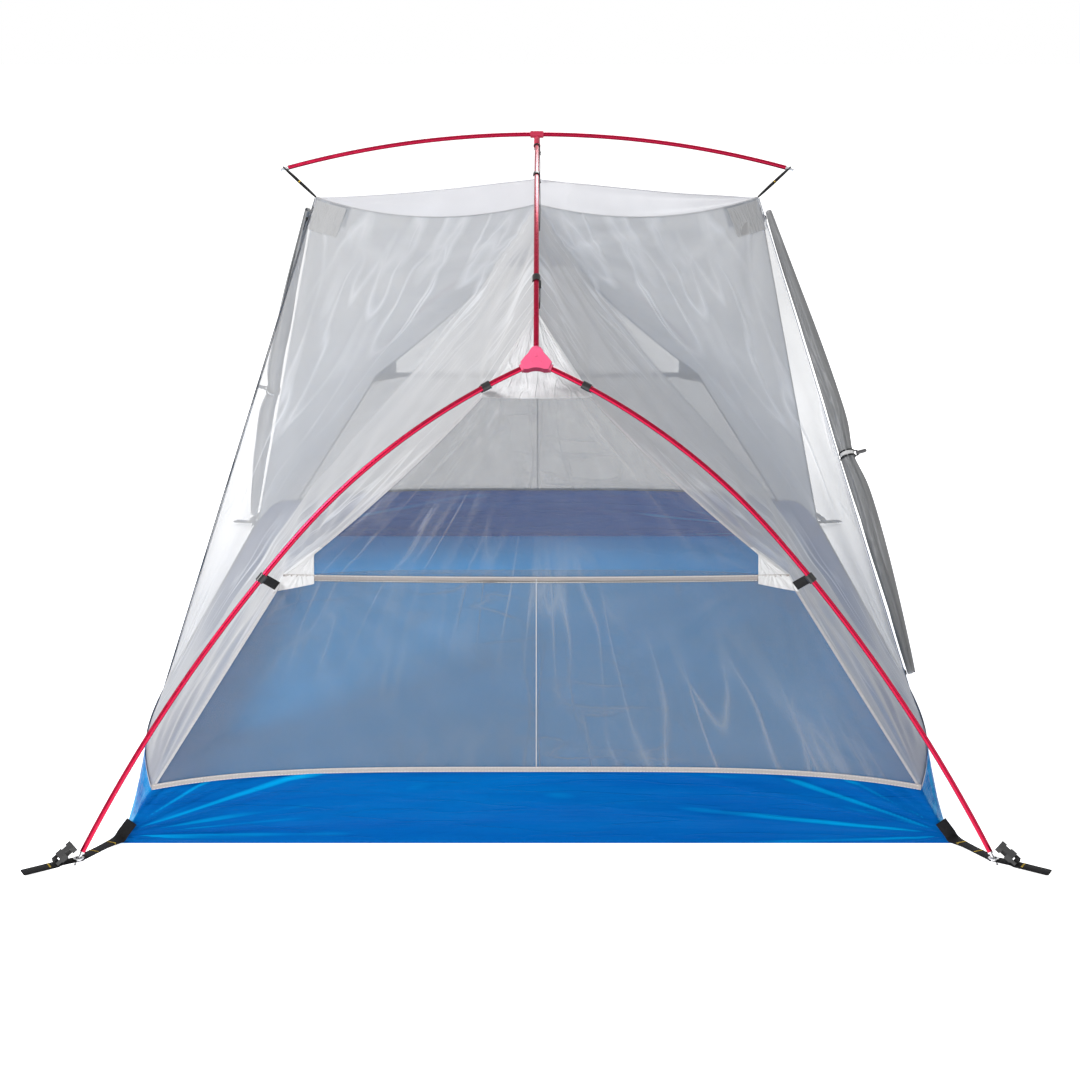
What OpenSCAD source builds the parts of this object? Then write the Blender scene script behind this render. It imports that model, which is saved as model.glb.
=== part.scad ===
// Free-standing two-person inner tent on a hub pole set: a bathtub floor, mesh walls and a small solid
// roof hang by clips from a spine pole, four legs and a crossbar. Millimetres, +Z up, +Y along the floor.
// The near end is at -Y and the left side at -X. Most pieces are drawn once in the +X +Y quarter and
// mirrored into the others; the doors repeat by a half turn about Z.

/* [Floor] */
// Length of the floor
floor_l = 2100; // [2000:10:2200]
// Width of the floor
floor_w = 1350; // [1300:10:1400]
// Height of the bathtub wall in the middle of a side
tub_side_z = 130; // [115:1:145]
// Height of the bathtub wall in the middle of an end
tub_end_z = 123; // [110:1:140]
// Height of the bathtub wall at the corners
tub_corner_z = 93; // [80:1:105]
// Thickness of a sheet of cloth
cloth_t = 1.2; // [0.8:0.1:1.6]

/* [Canopy] */
// Height of the roof peak
peak_z = 989; // [960:1:1000]
// Half of the distance between the roof's side corners
roof_half = 441; // [420:1:460]
// Height of the roof's side corners
roof_corner_z = 951; // [930:1:960]
// Distance from the peak to the roof panel's edge, along the ridge
roof_reach = 200; // [160:5:240]
// Distance from the peak to the tip of a hub patch, along the floor
patch_tip_y = 790; // [770:5:810]
// Height of the tip of a hub patch
patch_tip_z = 830; // [815:1:840]
// Height of an end wall, to the hub patch
end_top_z = 710; // [690:1:720]
// Half width of an end wall at its top
end_top_half = 90; // [80:1:100]
// Height of the pocket's top edge
pocket_z = 431; // [400:1:450]
// Half width of an end wall at the pocket's top edge
pocket_half = 404; // [380:1:420]
// Distance from the middle of a side to each end of the door's sill
door_half = 650; // [600:5:700]

/* [Pole set] */
// Outer diameter of a pole
pole_d = 8.7; // [8:0.1:9]
// Bore of a pole
pole_bore = 7.5; // [7:0.1:7.6]
// Distance from the middle of the tent to a hub
hub_y = 950; // [940:1:960]
// Height of a hub
hub_z = 770; // [760:1:780]
// Height of the spine at the crossing
spine_z = 1053; // [1050:1:1060]
// Height of the crossbar at the crossing
bar_z = 1075; // [1075:1:1080]
// Half of the length of the crossbar, without its tips
bar_half = 494; // [480:1:500]
// How far the crossbar's ends lie below its middle
bar_drop = 65; // [60:1:70]
// Distance from the middle of the tent to a pole's foot, across
foot_x = 725; // [715:1:735]
// Distance from the middle of the tent to a pole's foot, along
foot_y = 1148; // [1140:1:1155]

/* [Webbing and fittings] */
// Width of the corner webbing
strap_w = 20; // [18:1:22]
// Width of the webbing that carries a clip
tab_w = 15; // [13:1:16]
// Thickness of webbing
strap_t = 1.6; // [1.4:0.1:1.8]
// Thickest radius of a rolled door
roll_r = 17; // [14:1:18]
// Width of a zip tape
tape_w = 12; // [10:1:14]

/* [Hidden] */

FINE = 64;
MM_GAP = 1.5;

// ---- small helpers ----
function lerp(a, b, t) = a + (b - a) * t;
function unit(v) = v / norm(v);
function sag(t) = 4 * t * (1 - t);
function frame(o, ex, ey, ez) = [
  [ex.x, ey.x, ez.x, o.x],
  [ex.y, ey.y, ez.y, o.y],
  [ex.z, ey.z, ez.z, o.z],
  [0, 0, 0, 1]
];

// A copy of the +X +Y quarter's shape in the quarter that sx and sy name
module quarter(sx, sy) {
  mirror([sx < 0 ? 1 : 0, 0, 0])
    mirror([0, sy < 0 ? 1 : 0, 0])
      children();
}

// The right door's shapes serve the left door after a half turn
module side(sx) {
  rotate([0, 0, sx < 0 ? 180 : 0])
    children();
}

// ---- the canopy's lines, in the +X +Y quarter ----
CORNER_X = floor_w / 2 - 55;
END_LEAN = 0.0469;
END_CURVE = 0.000182;
EDGE_SAG = 12;
CLIP_B_Y = 370;
CLIP_B_Z = lerp(peak_z, patch_tip_z, CLIP_B_Y / patch_tip_y) + 10;
SEAM_SAG = 27;
CREST_SAG = 5.6;

// Distance of an end wall from the middle of the tent, by height
function end_y(z) = floor_l / 2 - END_LEAN * z - END_CURVE * z * z;

// Half width of an end wall by height: straight to the pocket's edge, then slightly hollow
function edge_x(z) = z < pocket_z
  ? lerp(CORNER_X, pocket_half, (z - tub_corner_z) / (pocket_z - tub_corner_z))
  : lerp(pocket_half, end_top_half, (z - pocket_z) / (end_top_z - pocket_z))
    - EDGE_SAG * sag((z - pocket_z) / (end_top_z - pocket_z));
function edge_point(z) = [edge_x(z), end_y(z), z];

// Top edge of the bathtub along an end (f from -1 to 1) and along a side (y from 0 out)
function tub_end_top(f) = tub_end_z - (tub_end_z - tub_corner_z) * pow(abs(f), 4);
function tub_side_top(y) = [
  floor_w / 2 - 7 - 48 * pow(abs(y) / end_y(tub_corner_z), 8),
  y,
  tub_side_z - (tub_side_z - tub_corner_z) * pow(abs(y) / end_y(tub_corner_z), 10)
];

// Ridge line by distance from the peak
function ridge_z(y) = y < CLIP_B_Y
  ? lerp(peak_z, CLIP_B_Z, y / CLIP_B_Y)
  : lerp(CLIP_B_Z, patch_tip_z, (y - CLIP_B_Y) / (patch_tip_y - CLIP_B_Y));

PATCH_LOW = [end_top_half, end_y(end_top_z), end_top_z];
PATCH_TIP = [0, patch_tip_y, patch_tip_z];
ROOF_CORNER = [roof_half, 0, roof_corner_z];
SILL_END = tub_side_top(door_half);

// Edge of the roof panel, from the ridge (w = 0) to the roof's corner (w = 1)
function seam_point(w) = [
  roof_half * w,
  roof_reach * (1 - w * w),
  lerp(ridge_z(roof_reach), roof_corner_z, w) - SEAM_SAG * sag(w)
];
function crest_z(w) = lerp(peak_z, roof_corner_z, w) - CREST_SAG * sag(w);

// ---- a side wall's surface: four edges blended (u to the door, v upwards) ----
V_PATCH = 0.8;
U_RIDGE = 0.55;
function wall_low(u) = tub_side_top(lerp(end_y(tub_corner_z), door_half, u));
function wall_end(v) = v < V_PATCH
  ? edge_point(lerp(tub_corner_z, end_top_z, v / V_PATCH))
  : lerp(PATCH_LOW, PATCH_TIP, (v - V_PATCH) / (1 - V_PATCH));
function wall_door(v) = lerp(SILL_END, ROOF_CORNER, v);
function ridge_point(y) = [0, y, ridge_z(y)];
function wall_high(u) = u < U_RIDGE
  ? ridge_point(lerp(patch_tip_y, roof_reach, u / U_RIDGE))
  : seam_point((u - U_RIDGE) / (1 - U_RIDGE));
function wall_point(u, v) =
  (1 - v) * wall_low(u) + v * wall_high(u)
  + (1 - u) * wall_end(v) + u * wall_door(v)
  - (1 - u) * (1 - v) * wall_low(0) - u * (1 - v) * SILL_END
  - (1 - u) * v * PATCH_TIP - u * v * ROOF_CORNER;

// ---- sheets ----
// Normal of a grid of points at one of them
function grid_normal(g, i, j) = unit(cross(
  g[min(i + 1, len(g) - 1)][j] - g[max(i - 1, 0)][j],
  g[i][min(j + 1, len(g[0]) - 1)] - g[i][max(j - 1, 0)]
));
// The grid moved out from the tent by d
function grid_out(g, d) = [
  for (i = [0:len(g) - 1]) [for (j = [0:len(g[0]) - 1]) g[i][j] - d * grid_normal(g, i, j)]
];

// A closed sheet from a grid of points on its outer face
module sheet(g, t) {
  ni = len(g) - 1;
  nj = len(g[0]) - 1;
  n = (ni + 1) * (nj + 1);
  outer = [for (i = [0:ni]) for (j = [0:nj]) g[i][j]];
  inner = [for (i = [0:ni]) for (j = [0:nj]) g[i][j] + t * grid_normal(g, i, j)];
  function id(i, j) = i * (nj + 1) + j;
  faces_out = [
    for (i = [0:ni - 1]) for (j = [0:nj - 1])
      each [[id(i, j), id(i + 1, j), id(i + 1, j + 1)], [id(i, j), id(i + 1, j + 1), id(i, j + 1)]]
  ];
  faces_in = [for (f = faces_out) [n + f[0], n + f[2], n + f[1]]];
  rim = concat(
    [for (i = [0:ni - 1]) [id(i + 1, 0), id(i, 0)]],
    [for (i = [0:ni - 1]) [id(i, nj), id(i + 1, nj)]],
    [for (j = [0:nj - 1]) [id(0, j), id(0, j + 1)]],
    [for (j = [0:nj - 1]) [id(ni, j + 1), id(ni, j)]]
  );
  faces_rim = [for (e = rim) each [[e[0], e[1], n + e[1]], [e[0], n + e[1], n + e[0]]]];
  polyhedron(concat(outer, inner), concat(faces_out, faces_in, faces_rim));
}

// The bathtub: one tray of cloth, its walls leaning in to their top edge
TUB_N = 10;
module floor() {
  hx = floor_w / 2;
  hy = floor_l / 2;
  k = [for (i = [0:TUB_N - 1]) 2 * i / TUB_N - 1];
  function side_pair(f) = let (p = tub_side_top(f * end_y(tub_corner_z))) [
    [hx, f * hy, 0], p, p - [cloth_t, f * cloth_t, 0], [hx - cloth_t, f * (hy - cloth_t), cloth_t]
  ];
  function end_pair(f) = let (z = tub_end_top(f), p = [f * CORNER_X, end_y(z), z]) [
    [f * hx, hy, 0], p, p - [f * cloth_t, cloth_t, 0], [f * (hx - cloth_t), hy - cloth_t, cloth_t]
  ];
  function turned(col) = [for (p = col) [-p.x, -p.y, p.z]];
  right = [for (f = k) side_pair(f)];
  far = [for (f = k) end_pair(-f)];
  cols = concat(right, far, [for (c = right) turned(c)], [for (c = far) turned(c)]);
  n = len(cols);
  low = 4 * n;
  pts = concat([for (r = [0:3]) for (c = cols) c[r]], [[0, 0, 0], [0, 0, cloth_t]]);
  // Both faces of the wall are split along the same diagonal, so they stay apart where it twists
  walls = [
    for (r = [0:2]) for (i = [0:n - 1]) let (a = r * n + i, b = r * n + (i + 1) % n)
      each r < 2
        ? [[a, b + n, b], [a, a + n, b + n]]
        : [[a, a + n, b], [a + n, b + n, b]]
  ];
  ground = [
    for (i = [0:n - 1]) let (j = (i + 1) % n)
      each [[low, i, j], [low + 1, 3 * n + j, 3 * n + i]]
  ];
  color("deepskyblue")
    polyhedron(pts, concat(walls, ground));
}

END_COLS = 10;
END_ROWS = 8;
// The share of an end wall's height at the pocket's top edge, where its sides change slope
POCKET_SHARE = (pocket_z - tub_corner_z) / (end_top_z - tub_corner_z);
// Grid of an end wall at these shares of its height, set d inside the wall's own surface
function end_grid(shares, d) = [
  for (i = [0:END_COLS]) [
    for (t = shares)
      let (
        f = (2 * i / END_COLS - 1),
        z = lerp(tub_end_top(f), end_top_z - 3 * (1 - f * f), t),
        half = edge_x(lerp(tub_corner_z, end_top_z, t)) - MM_GAP - d
      )
      [f * half, end_y(z) - d, z]
  ]
];

module end_wall(sy) {
  color("gainsboro")
    quarter(1, sy)
      sheet(end_grid([
        for (j = [0:END_ROWS]) j < END_ROWS / 2
          ? lerp(0.004, POCKET_SHARE, 2 * j / END_ROWS)
          : lerp(POCKET_SHARE, 0.997, 2 * j / END_ROWS - 1)
      ], 0), cloth_t);
}

// Flat mesh pocket across the inside of an end wall, open at its top edge
POCKET_IN = 2.4;
module pocket(sy) {
  color("lightgrey")
    quarter(1, sy)
      sheet(end_grid([for (j = [0:END_ROWS]) lerp(0.02, POCKET_SHARE, j / END_ROWS)], POCKET_IN), cloth_t);
}

WALL_COLS = 11;
EDGE_CUT = 0.0025;
// Rows of a side wall, with one at each change of slope along its end
WALL_ROWS = [
  for (j = [0:3]) lerp(EDGE_CUT, V_PATCH * POCKET_SHARE, j / 4),
  for (j = [0:2]) V_PATCH * lerp(POCKET_SHARE, 1, j / 3),
  for (j = [0:3]) lerp(V_PATCH, 1 - EDGE_CUT, j / 3)
];
module side_wall(sx, sy) {
  g = [
    for (i = [0:WALL_COLS]) [
      for (v = WALL_ROWS)
        wall_point(lerp(EDGE_CUT, 1 - EDGE_CUT, i / WALL_COLS), v)
    ]
  ];
  color("gainsboro")
    quarter(sx, sy)
      sheet(g, cloth_t);
}

ROOF_COLS = 14;
ROOF_ROWS = 6;
ROOF_CUT = 0.97;
module roof_panel() {
  g = [
    for (i = [0:ROOF_COLS]) [
      for (j = [0:ROOF_ROWS])
        let (
          s = ROOF_CUT * (2 * i / ROOF_COLS - 1),
          w = abs(s),
          t = 1 - 2 * j / ROOF_ROWS,
          reach = seam_point(w).y - MM_GAP
        )
        [roof_half * s, t * reach, lerp(crest_z(w), seam_point(w).z, abs(t))]
    ]
  ];
  color("lightsteelblue")
    sheet(g, cloth_t);
}

// Triangle of stiff white cloth under the hub
PATCH_COLS = 6;
module hub_patches() {
  g = [
    for (i = [0:PATCH_COLS]) [
      for (j = [0:5])
        let (
          f = 2 * i / PATCH_COLS - 1,
          t = lerp(0.02, 0.96, j / 5),
          low = [f * (end_top_half - 2 * MM_GAP), PATCH_LOW.y, end_top_z - 3 * (1 - f * f)]
        )
        lerp(low, PATCH_TIP, t) + [0, 0, 6 * (1 - abs(f)) * sag(t)]
    ]
  ];
  color("white")
    for (sy = [-1, 1])
      quarter(1, sy)
        sheet(g, cloth_t);
}

// White patches where a clip or the crossbar's strap pulls at the canopy
PATCH_OUT = 2.6;
LEG_PATCH_LOW = 400;
LEG_PATCH_HIGH = 476;
LEG_PATCH_IN = 52;
module leg_patch() {
  g = [
    for (i = [0:4]) [
      for (j = [0:3])
        let (
          z = lerp(LEG_PATCH_LOW, LEG_PATCH_HIGH, j / 3),
          wide = LEG_PATCH_IN * (1 - 0.8 * j / 3),
          v = V_PATCH * (z - tub_corner_z) / (end_top_z - tub_corner_z)
        )
        i < 3
          ? [edge_x(z) - wide * (1 - i / 2), end_y(z), z]
          : wall_point(0.02 * (i - 2) * (1 - 0.5 * j / 3), v)
    ]
  ];
  sheet(grid_out(g, PATCH_OUT), 0.8);
}
module roof_corner_patch() {
  g = [
    for (i = [0:3]) [
      for (j = [0:3])
        wall_point(lerp(0.95, 0.985, i / 3), lerp(0.945, 0.985, j / 3))
    ]
  ];
  sheet(grid_out(g, PATCH_OUT), 0.8);
}
module corner_patches() {
  color("whitesmoke")
    for (sx = [-1, 1], sy = [-1, 1])
      quarter(sx, sy) {
        leg_patch();
        roof_corner_patch();
      }
}

// ---- doors: drawn for the right side, whose door is rolled to its near edge ----
// The doorway's plane: x along the tent, y up the slope, z outwards; its origin is the sill's middle
DOOR_RISE = norm(ROOF_CORNER - [SILL_END.x, 0, SILL_END.z]);
DOOR_TILT = atan((SILL_END.x - roof_half) / (roof_corner_z - SILL_END.z));
EDGE_L = norm([door_half, DOOR_RISE]);
EDGE_A = atan(DOOR_RISE / door_half);
module doorway() {
  translate([SILL_END.x, 0, SILL_END.z])
    rotate([0, -DOOR_TILT, 0])
      rotate([90, 0, 90])
        children();
}
// The zipped edge's own frame: x down from the roof's corner, y into the doorway, z outwards
module zip_edge() {
  doorway()
    translate([0, DOOR_RISE, 0])
      rotate([0, 0, -EDGE_A])
        mirror([0, 1, 0])
          children();
}

COIL_R = 1.3;
module zip_strip(l) {
  translate([0, 0, -0.6])
    cube([l, tape_w, 1.2]);
  translate([0, tape_w, 0])
    rotate([0, 90, 0])
      cylinder(r = COIL_R, h = l, $fn = 24);
}
module zip_tapes() {
  color("dimgray")
    for (sx = [-1, 1])
      side(sx) {
        zip_edge()
          translate([14, 0, 0])
            zip_strip(EDGE_L - 14 - 3.4 * tape_w);
        doorway()
          translate([-door_half + 10, 2, 0])
            zip_strip(2 * door_half - 20);
      }
}

// Zip slider around the coil, with a bridge whose bar carries the pull; x is the way it travels
SLIDER_L = 13;
SLIDER_Z = 3.6;
BAR_Z = 6.2;
BAR_R = 1;
PULL_FIT = 0.08;
module slider() {
  difference() {
    translate([-SLIDER_L / 2, tape_w - 4.5, -SLIDER_Z])
      cube([SLIDER_L, 10, 2 * SLIDER_Z]);
    translate([-SLIDER_L, tape_w - 6, -0.85])
      cube([2 * SLIDER_L, 6, 1.7]);
    translate([-SLIDER_L, tape_w, 0])
      rotate([0, 90, 0])
        cylinder(r = COIL_R + 0.35, h = 2 * SLIDER_L, $fn = 24);
  }
  for (y = [-4.5, 4])
    translate([-2, tape_w + y, SLIDER_Z])
      cube([4, 1.5, BAR_Z + BAR_R - SLIDER_Z]);
  translate([0, tape_w - 4.5, BAR_Z])
    rotate([-90, 0, 0])
      cylinder(r = BAR_R, h = 10, $fn = 24);
}
PULL_L = 26;
module pull() {
  translate([0, tape_w - 2.4, BAR_Z])
    rotate([-90, 0, 0])
      difference() {
        union() {
          cylinder(r = 2.2, h = 5.8, $fn = 32);
          translate([1.6, -0.8, 0])
            cube([PULL_L - 1.6, 1.6, 5.8]);
        }
        translate([0, 0, -1])
          cylinder(r = BAR_R + PULL_FIT, h = 8, $fn = 32);
        translate([PULL_L - 4, -2, 2.9])
          rotate([-90, 0, 0])
            cylinder(r = 1.4, h = 4, $fn = 24);
      }
}
EDGE_PARK = 46;
SILL_PARK = 60;
module edge_slider(sx) {
  color("black")
    side(sx)
      zip_edge()
        translate([EDGE_PARK, 0, 0])
          slider();
}
module edge_pull(sx) {
  color("black")
    side(sx)
      zip_edge()
        translate([EDGE_PARK, 0, 0])
          pull();
}
module sill_slider(sx) {
  color("black")
    side(sx)
      doorway()
        translate([-door_half + SILL_PARK, 2, 0])
          slider();
}
module sill_pull(sx) {
  color("black")
    side(sx)
      doorway()
        translate([-door_half + SILL_PARK, 2, 0])
          pull();
}

// The rolled door lies outside its hinge edge; t runs up that edge
TIE_T = 0.4455;
ROLL_SIDES = 10;
ROLL_RINGS = 27;
function roll_radius(t) = (5 + (roll_r - 5) * sin(180 * pow(t, 0.8)))
  * (1 - 0.28 * exp(-pow((t - TIE_T) / 0.045, 2)));
function roll_lift(t) = roll_radius(t) + 6;
TIE_R = roll_radius(TIE_T) + 0.8;
// The hinge edge's own frame: x up from the sill, y away from the doorway, z outwards
module hinge_edge() {
  doorway()
    translate([-door_half, 0, 0])
      rotate([0, 0, EDGE_A])
        children();
}
module door_roll(sx) {
  ts = [for (i = [0:ROLL_RINGS]) lerp(0.03, 0.965, i / ROLL_RINGS)];
  pts = [
    for (t = ts) for (k = [0:ROLL_SIDES - 1]) let (a = 360 * k / ROLL_SIDES)
      [EDGE_L * t, roll_radius(t) * cos(a), roll_lift(t) + roll_radius(t) * sin(a)]
  ];
  n = ROLL_SIDES;
  body = [
    for (i = [0:ROLL_RINGS - 1]) for (k = [0:n - 1])
      let (a = i * n + k, b = i * n + (k + 1) % n)
      each [[a, a + n, b + n], [a, b + n, b]]
  ];
  last = ROLL_RINGS * n;
  color("silver")
    side(sx)
      hinge_edge()
        polyhedron(pts, concat(body, [[for (k = [0:n - 1]) k]], [[for (k = [n - 1:-1:0]) last + k]]));
}

// Elastic tie round the roll: a band between two cords
TIE_LIFT = roll_lift(TIE_T);
TIE_HALF = 5.2;
TIE_CORD = 1.2;
TOGGLE_OUT = 7.4;
TOGGLE_FIT = 0.08;
module tie_frame(sx) {
  side(sx)
    hinge_edge()
      translate([EDGE_L * TIE_T, 0, TIE_LIFT])
        children();
}
module door_ties() {
  color("black")
    for (sx = [-1, 1])
      tie_frame(sx) {
        rotate([0, 90, 0])
          rotate_extrude($fn = FINE) {
            translate([TIE_R, -TIE_HALF])
              square([0.8, 2 * TIE_HALF]);
            for (y = [-TIE_HALF, TIE_HALF])
              translate([TIE_R + TIE_CORD, y])
                circle(r = TIE_CORD, $fn = 24);
          }
        // Cord that passes through the toggle
        for (x = [-TIE_HALF, TIE_HALF])
          translate([x, 0, TIE_R + TIE_CORD])
            cylinder(r = 1, h = TOGGLE_OUT - TIE_CORD, $fn = 24);
        translate([-TIE_HALF - 1, 0, TIE_R + TOGGLE_OUT])
          rotate([0, 90, 0])
            cylinder(r = TIE_CORD, h = 2 * TIE_HALF + 2, $fn = 24);
      }
}
// Toggle barrel that closes the tie; it swings on the tie's cord
TOGGLE_L = 20;
module toggle(sx) {
  color("ghostwhite")
    tie_frame(sx)
      translate([0, 0, TIE_R + TOGGLE_OUT])
        difference() {
          union() {
            translate([0, 0, -3.5])
              cylinder(r = 3.7, h = TOGGLE_L - 3, $fn = 32);
            translate([0, 0, TOGGLE_L - 6.5])
              cylinder(r1 = 3.7, r2 = 2.2, h = 3, $fn = 32);
          }
          translate([-6, 0, 0])
            rotate([0, 90, 0])
              cylinder(r = TIE_CORD + TOGGLE_FIT, h = 12, $fn = 24);
        }
}

// ---- pole set ----
POLE_R = pole_d / 2;
SOCKET_R = POLE_R + 0.25;
INSET = 9;
HUB = [0, hub_y, hub_z];
FOOT_R = 3;
FOOT = [foot_x, foot_y, FOOT_R];
// A leg lies in one plane: a tighter arc from the hub, then a flatter one to the foot
LEG_BEND = [380, 1040, 490];
LEG_OUT = 24.3;
LEG_MID = -1.6;
LEG_IN = -15.7;
LEG_SPAN = norm(FOOT - HUB);
LEG_X = unit(FOOT - HUB);
LEG_Z = unit(cross(FOOT - HUB, LEG_BEND - HUB));
LEG_Y = cross(LEG_Z, LEG_X);
LEG_RISE = cos(LEG_MID) - cos(LEG_OUT);
LEG_FALL = cos(LEG_MID) - cos(LEG_IN);
LEG_DET = (sin(LEG_OUT) - sin(LEG_MID)) * LEG_FALL + (sin(LEG_MID) - sin(LEG_IN)) * LEG_RISE;
BOW_UP = LEG_SPAN * LEG_FALL / LEG_DET;
BOW_LOW = LEG_SPAN * LEG_RISE / LEG_DET;
UP_CENTRE = [BOW_UP * sin(LEG_OUT), -BOW_UP * cos(LEG_OUT)];
LOW_CENTRE = UP_CENTRE + (BOW_LOW - BOW_UP) * [sin(LEG_MID), -cos(LEG_MID)];
LEG_DIR = LEG_X * cos(LEG_IN) + LEG_Y * sin(LEG_IN);
LEG_END = 24;
FERRULE = 36;
FERRULE_SHORT = 10;
function degrees(l, bow) = l / bow * 180 / PI;
TIP_A = LEG_IN + degrees(LEG_END, BOW_LOW);

// A leg's point and direction by the angle of its tangent
function leg_at(a) = let (c = a > LEG_MID ? UP_CENTRE : LOW_CENTRE, r = a > LEG_MID ? BOW_UP : BOW_LOW)
  HUB + LEG_X * (c.x - r * sin(a)) + LEG_Y * (c.y + r * cos(a));
function leg_along(a) = LEG_X * cos(a) + LEG_Y * sin(a);

// Round bar or tube along x, from x0 to x1
module bar(x0, x1, r, bore) {
  translate([x0, 0, 0])
    rotate([0, 90, 0])
      difference() {
        cylinder(r = r, h = x1 - x0, $fn = FINE);
        if (bore > 0)
          translate([0, 0, -1])
            cylinder(r = bore, h = x1 - x0 + 2, $fn = FINE);
      }
}
// Bent bar or tube: an arc of radius bow about the origin, from angle a0 to a1
module bend(bow, a0, a1, r, bore) {
  rotate([0, 0, a0])
    rotate_extrude(angle = a1 - a0, $fn = 180)
      translate([bow, 0])
        difference() {
          circle(r = r, $fn = FINE);
          if (bore > 0)
            circle(r = bore, $fn = FINE);
        }
}
module leg_frame(sx, sy) {
  quarter(sx, sy)
    multmatrix(frame(HUB, LEG_X, LEG_Y, LEG_Z))
      children();
}
module leg_arc(c) {
  translate([c.x, c.y, 0])
    rotate([0, 0, 90])
      children();
}
// The foot's frame: x goes down the pole from the tube's end
module leg_foot(sx, sy) {
  leg_frame(sx, sy)
    translate([LOW_CENTRE.x - BOW_LOW * sin(TIP_A), LOW_CENTRE.y + BOW_LOW * cos(TIP_A), 0])
      rotate([0, 0, TIP_A])
        children();
}
module leg_upper(sx, sy) {
  color("crimson")
    leg_frame(sx, sy)
      leg_arc(UP_CENTRE)
        bend(BOW_UP, LEG_MID, LEG_OUT - degrees(INSET, BOW_UP), POLE_R, pole_bore / 2);
}
module leg_lower(sx, sy) {
  color("crimson")
    leg_frame(sx, sy)
      leg_arc(LOW_CENTRE)
        bend(BOW_LOW, TIP_A, LEG_MID - 0.003, POLE_R, pole_bore / 2);
}
module leg_tips() {
  color("silver")
    for (sx = [-1, 1], sy = [-1, 1])
      leg_foot(sx, sy) {
        bar(-14, 0, pole_bore / 2 - 0.05, 0);
        bar(0, 3, POLE_R, 0);
        bar(3, LEG_END, 2.6, 0);
        translate([LEG_END, 0, 0])
          sphere(r = FOOT_R, $fn = FINE);
      }
}

// The spine: a gentle arc over the middle, a tighter one down to each hub
SPINE_MID = 12;
SPINE_END = 46;
SPINE_RUN = hub_y;
SPINE_RISE = spine_z - hub_z;
SPINE_DET = sin(SPINE_MID) * (cos(SPINE_MID) - cos(SPINE_END))
  - (sin(SPINE_END) - sin(SPINE_MID)) * (1 - cos(SPINE_MID));
BOW_MID = (SPINE_RUN * (cos(SPINE_MID) - cos(SPINE_END))
  - SPINE_RISE * (sin(SPINE_END) - sin(SPINE_MID))) / SPINE_DET;
BOW_END = (SPINE_RISE * sin(SPINE_MID) - SPINE_RUN * (1 - cos(SPINE_MID))) / SPINE_DET;
SPINE_LOW = spine_z - BOW_MID;
// Centre of the tighter arc, as distance along the tent and height
SPINE_C = [(BOW_MID - BOW_END) * sin(SPINE_MID), SPINE_LOW + (BOW_MID - BOW_END) * cos(SPINE_MID)];
function spine_mid_at(a) = [0, BOW_MID * sin(a), SPINE_LOW + BOW_MID * cos(a)];
function spine_end_at(a) = [0, SPINE_C[0] + BOW_END * sin(a), SPINE_C[1] + BOW_END * cos(a)];
function spine_along(a) = [0, cos(a), -sin(a)];

module spine_frame(sy) {
  quarter(1, sy)
    multmatrix(frame([0, 0, 0], [0, 0, 1], [0, 1, 0], [-1, 0, 0]))
      children();
}
module spine_inner(sy) {
  color("crimson")
    spine_frame(sy)
      translate([SPINE_LOW, 0, 0])
        bend(BOW_MID, 0.003, SPINE_MID, POLE_R, pole_bore / 2);
}
module spine_outer(sy) {
  color("crimson")
    spine_frame(sy)
      translate([SPINE_C[1], SPINE_C[0], 0])
        bend(BOW_END, SPINE_MID + 0.006, SPINE_END - degrees(INSET, BOW_END), POLE_R, pole_bore / 2);
}

// The crossbar: one arc, in two halves that meet in its saddle
BAR_BOW = (bar_half * bar_half + bar_drop * bar_drop) / (2 * bar_drop);
BAR_END = asin(bar_half / BAR_BOW);
module crossbar_frame(sx) {
  mirror([sx < 0 ? 1 : 0, 0, 0])
    multmatrix(frame([0, 0, bar_z - BAR_BOW], [0, 0, 1], [1, 0, 0], [0, 1, 0]))
      children();
}
module crossbar(sx) {
  color("crimson")
    crossbar_frame(sx)
      bend(BAR_BOW, 0.003, BAR_END, POLE_R, pole_bore / 2);
}
TIP_L = 16;
TIP_R = 2.1;
module crossbar_tips() {
  color("silver")
    for (sx = [-1, 1])
      crossbar_frame(sx)
        rotate([0, 0, BAR_END])
          translate([BAR_BOW, 0, 0])
            rotate([0, 0, 90]) {
              bar(-12, 0, pole_bore / 2 - 0.1, 0);
              bar(0, 1.5, POLE_R, 0);
              bar(1.5, TIP_L, TIP_R, 0);
              translate([TIP_L, 0, 0])
                sphere(r = TIP_R, $fn = FINE);
            }
}

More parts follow.
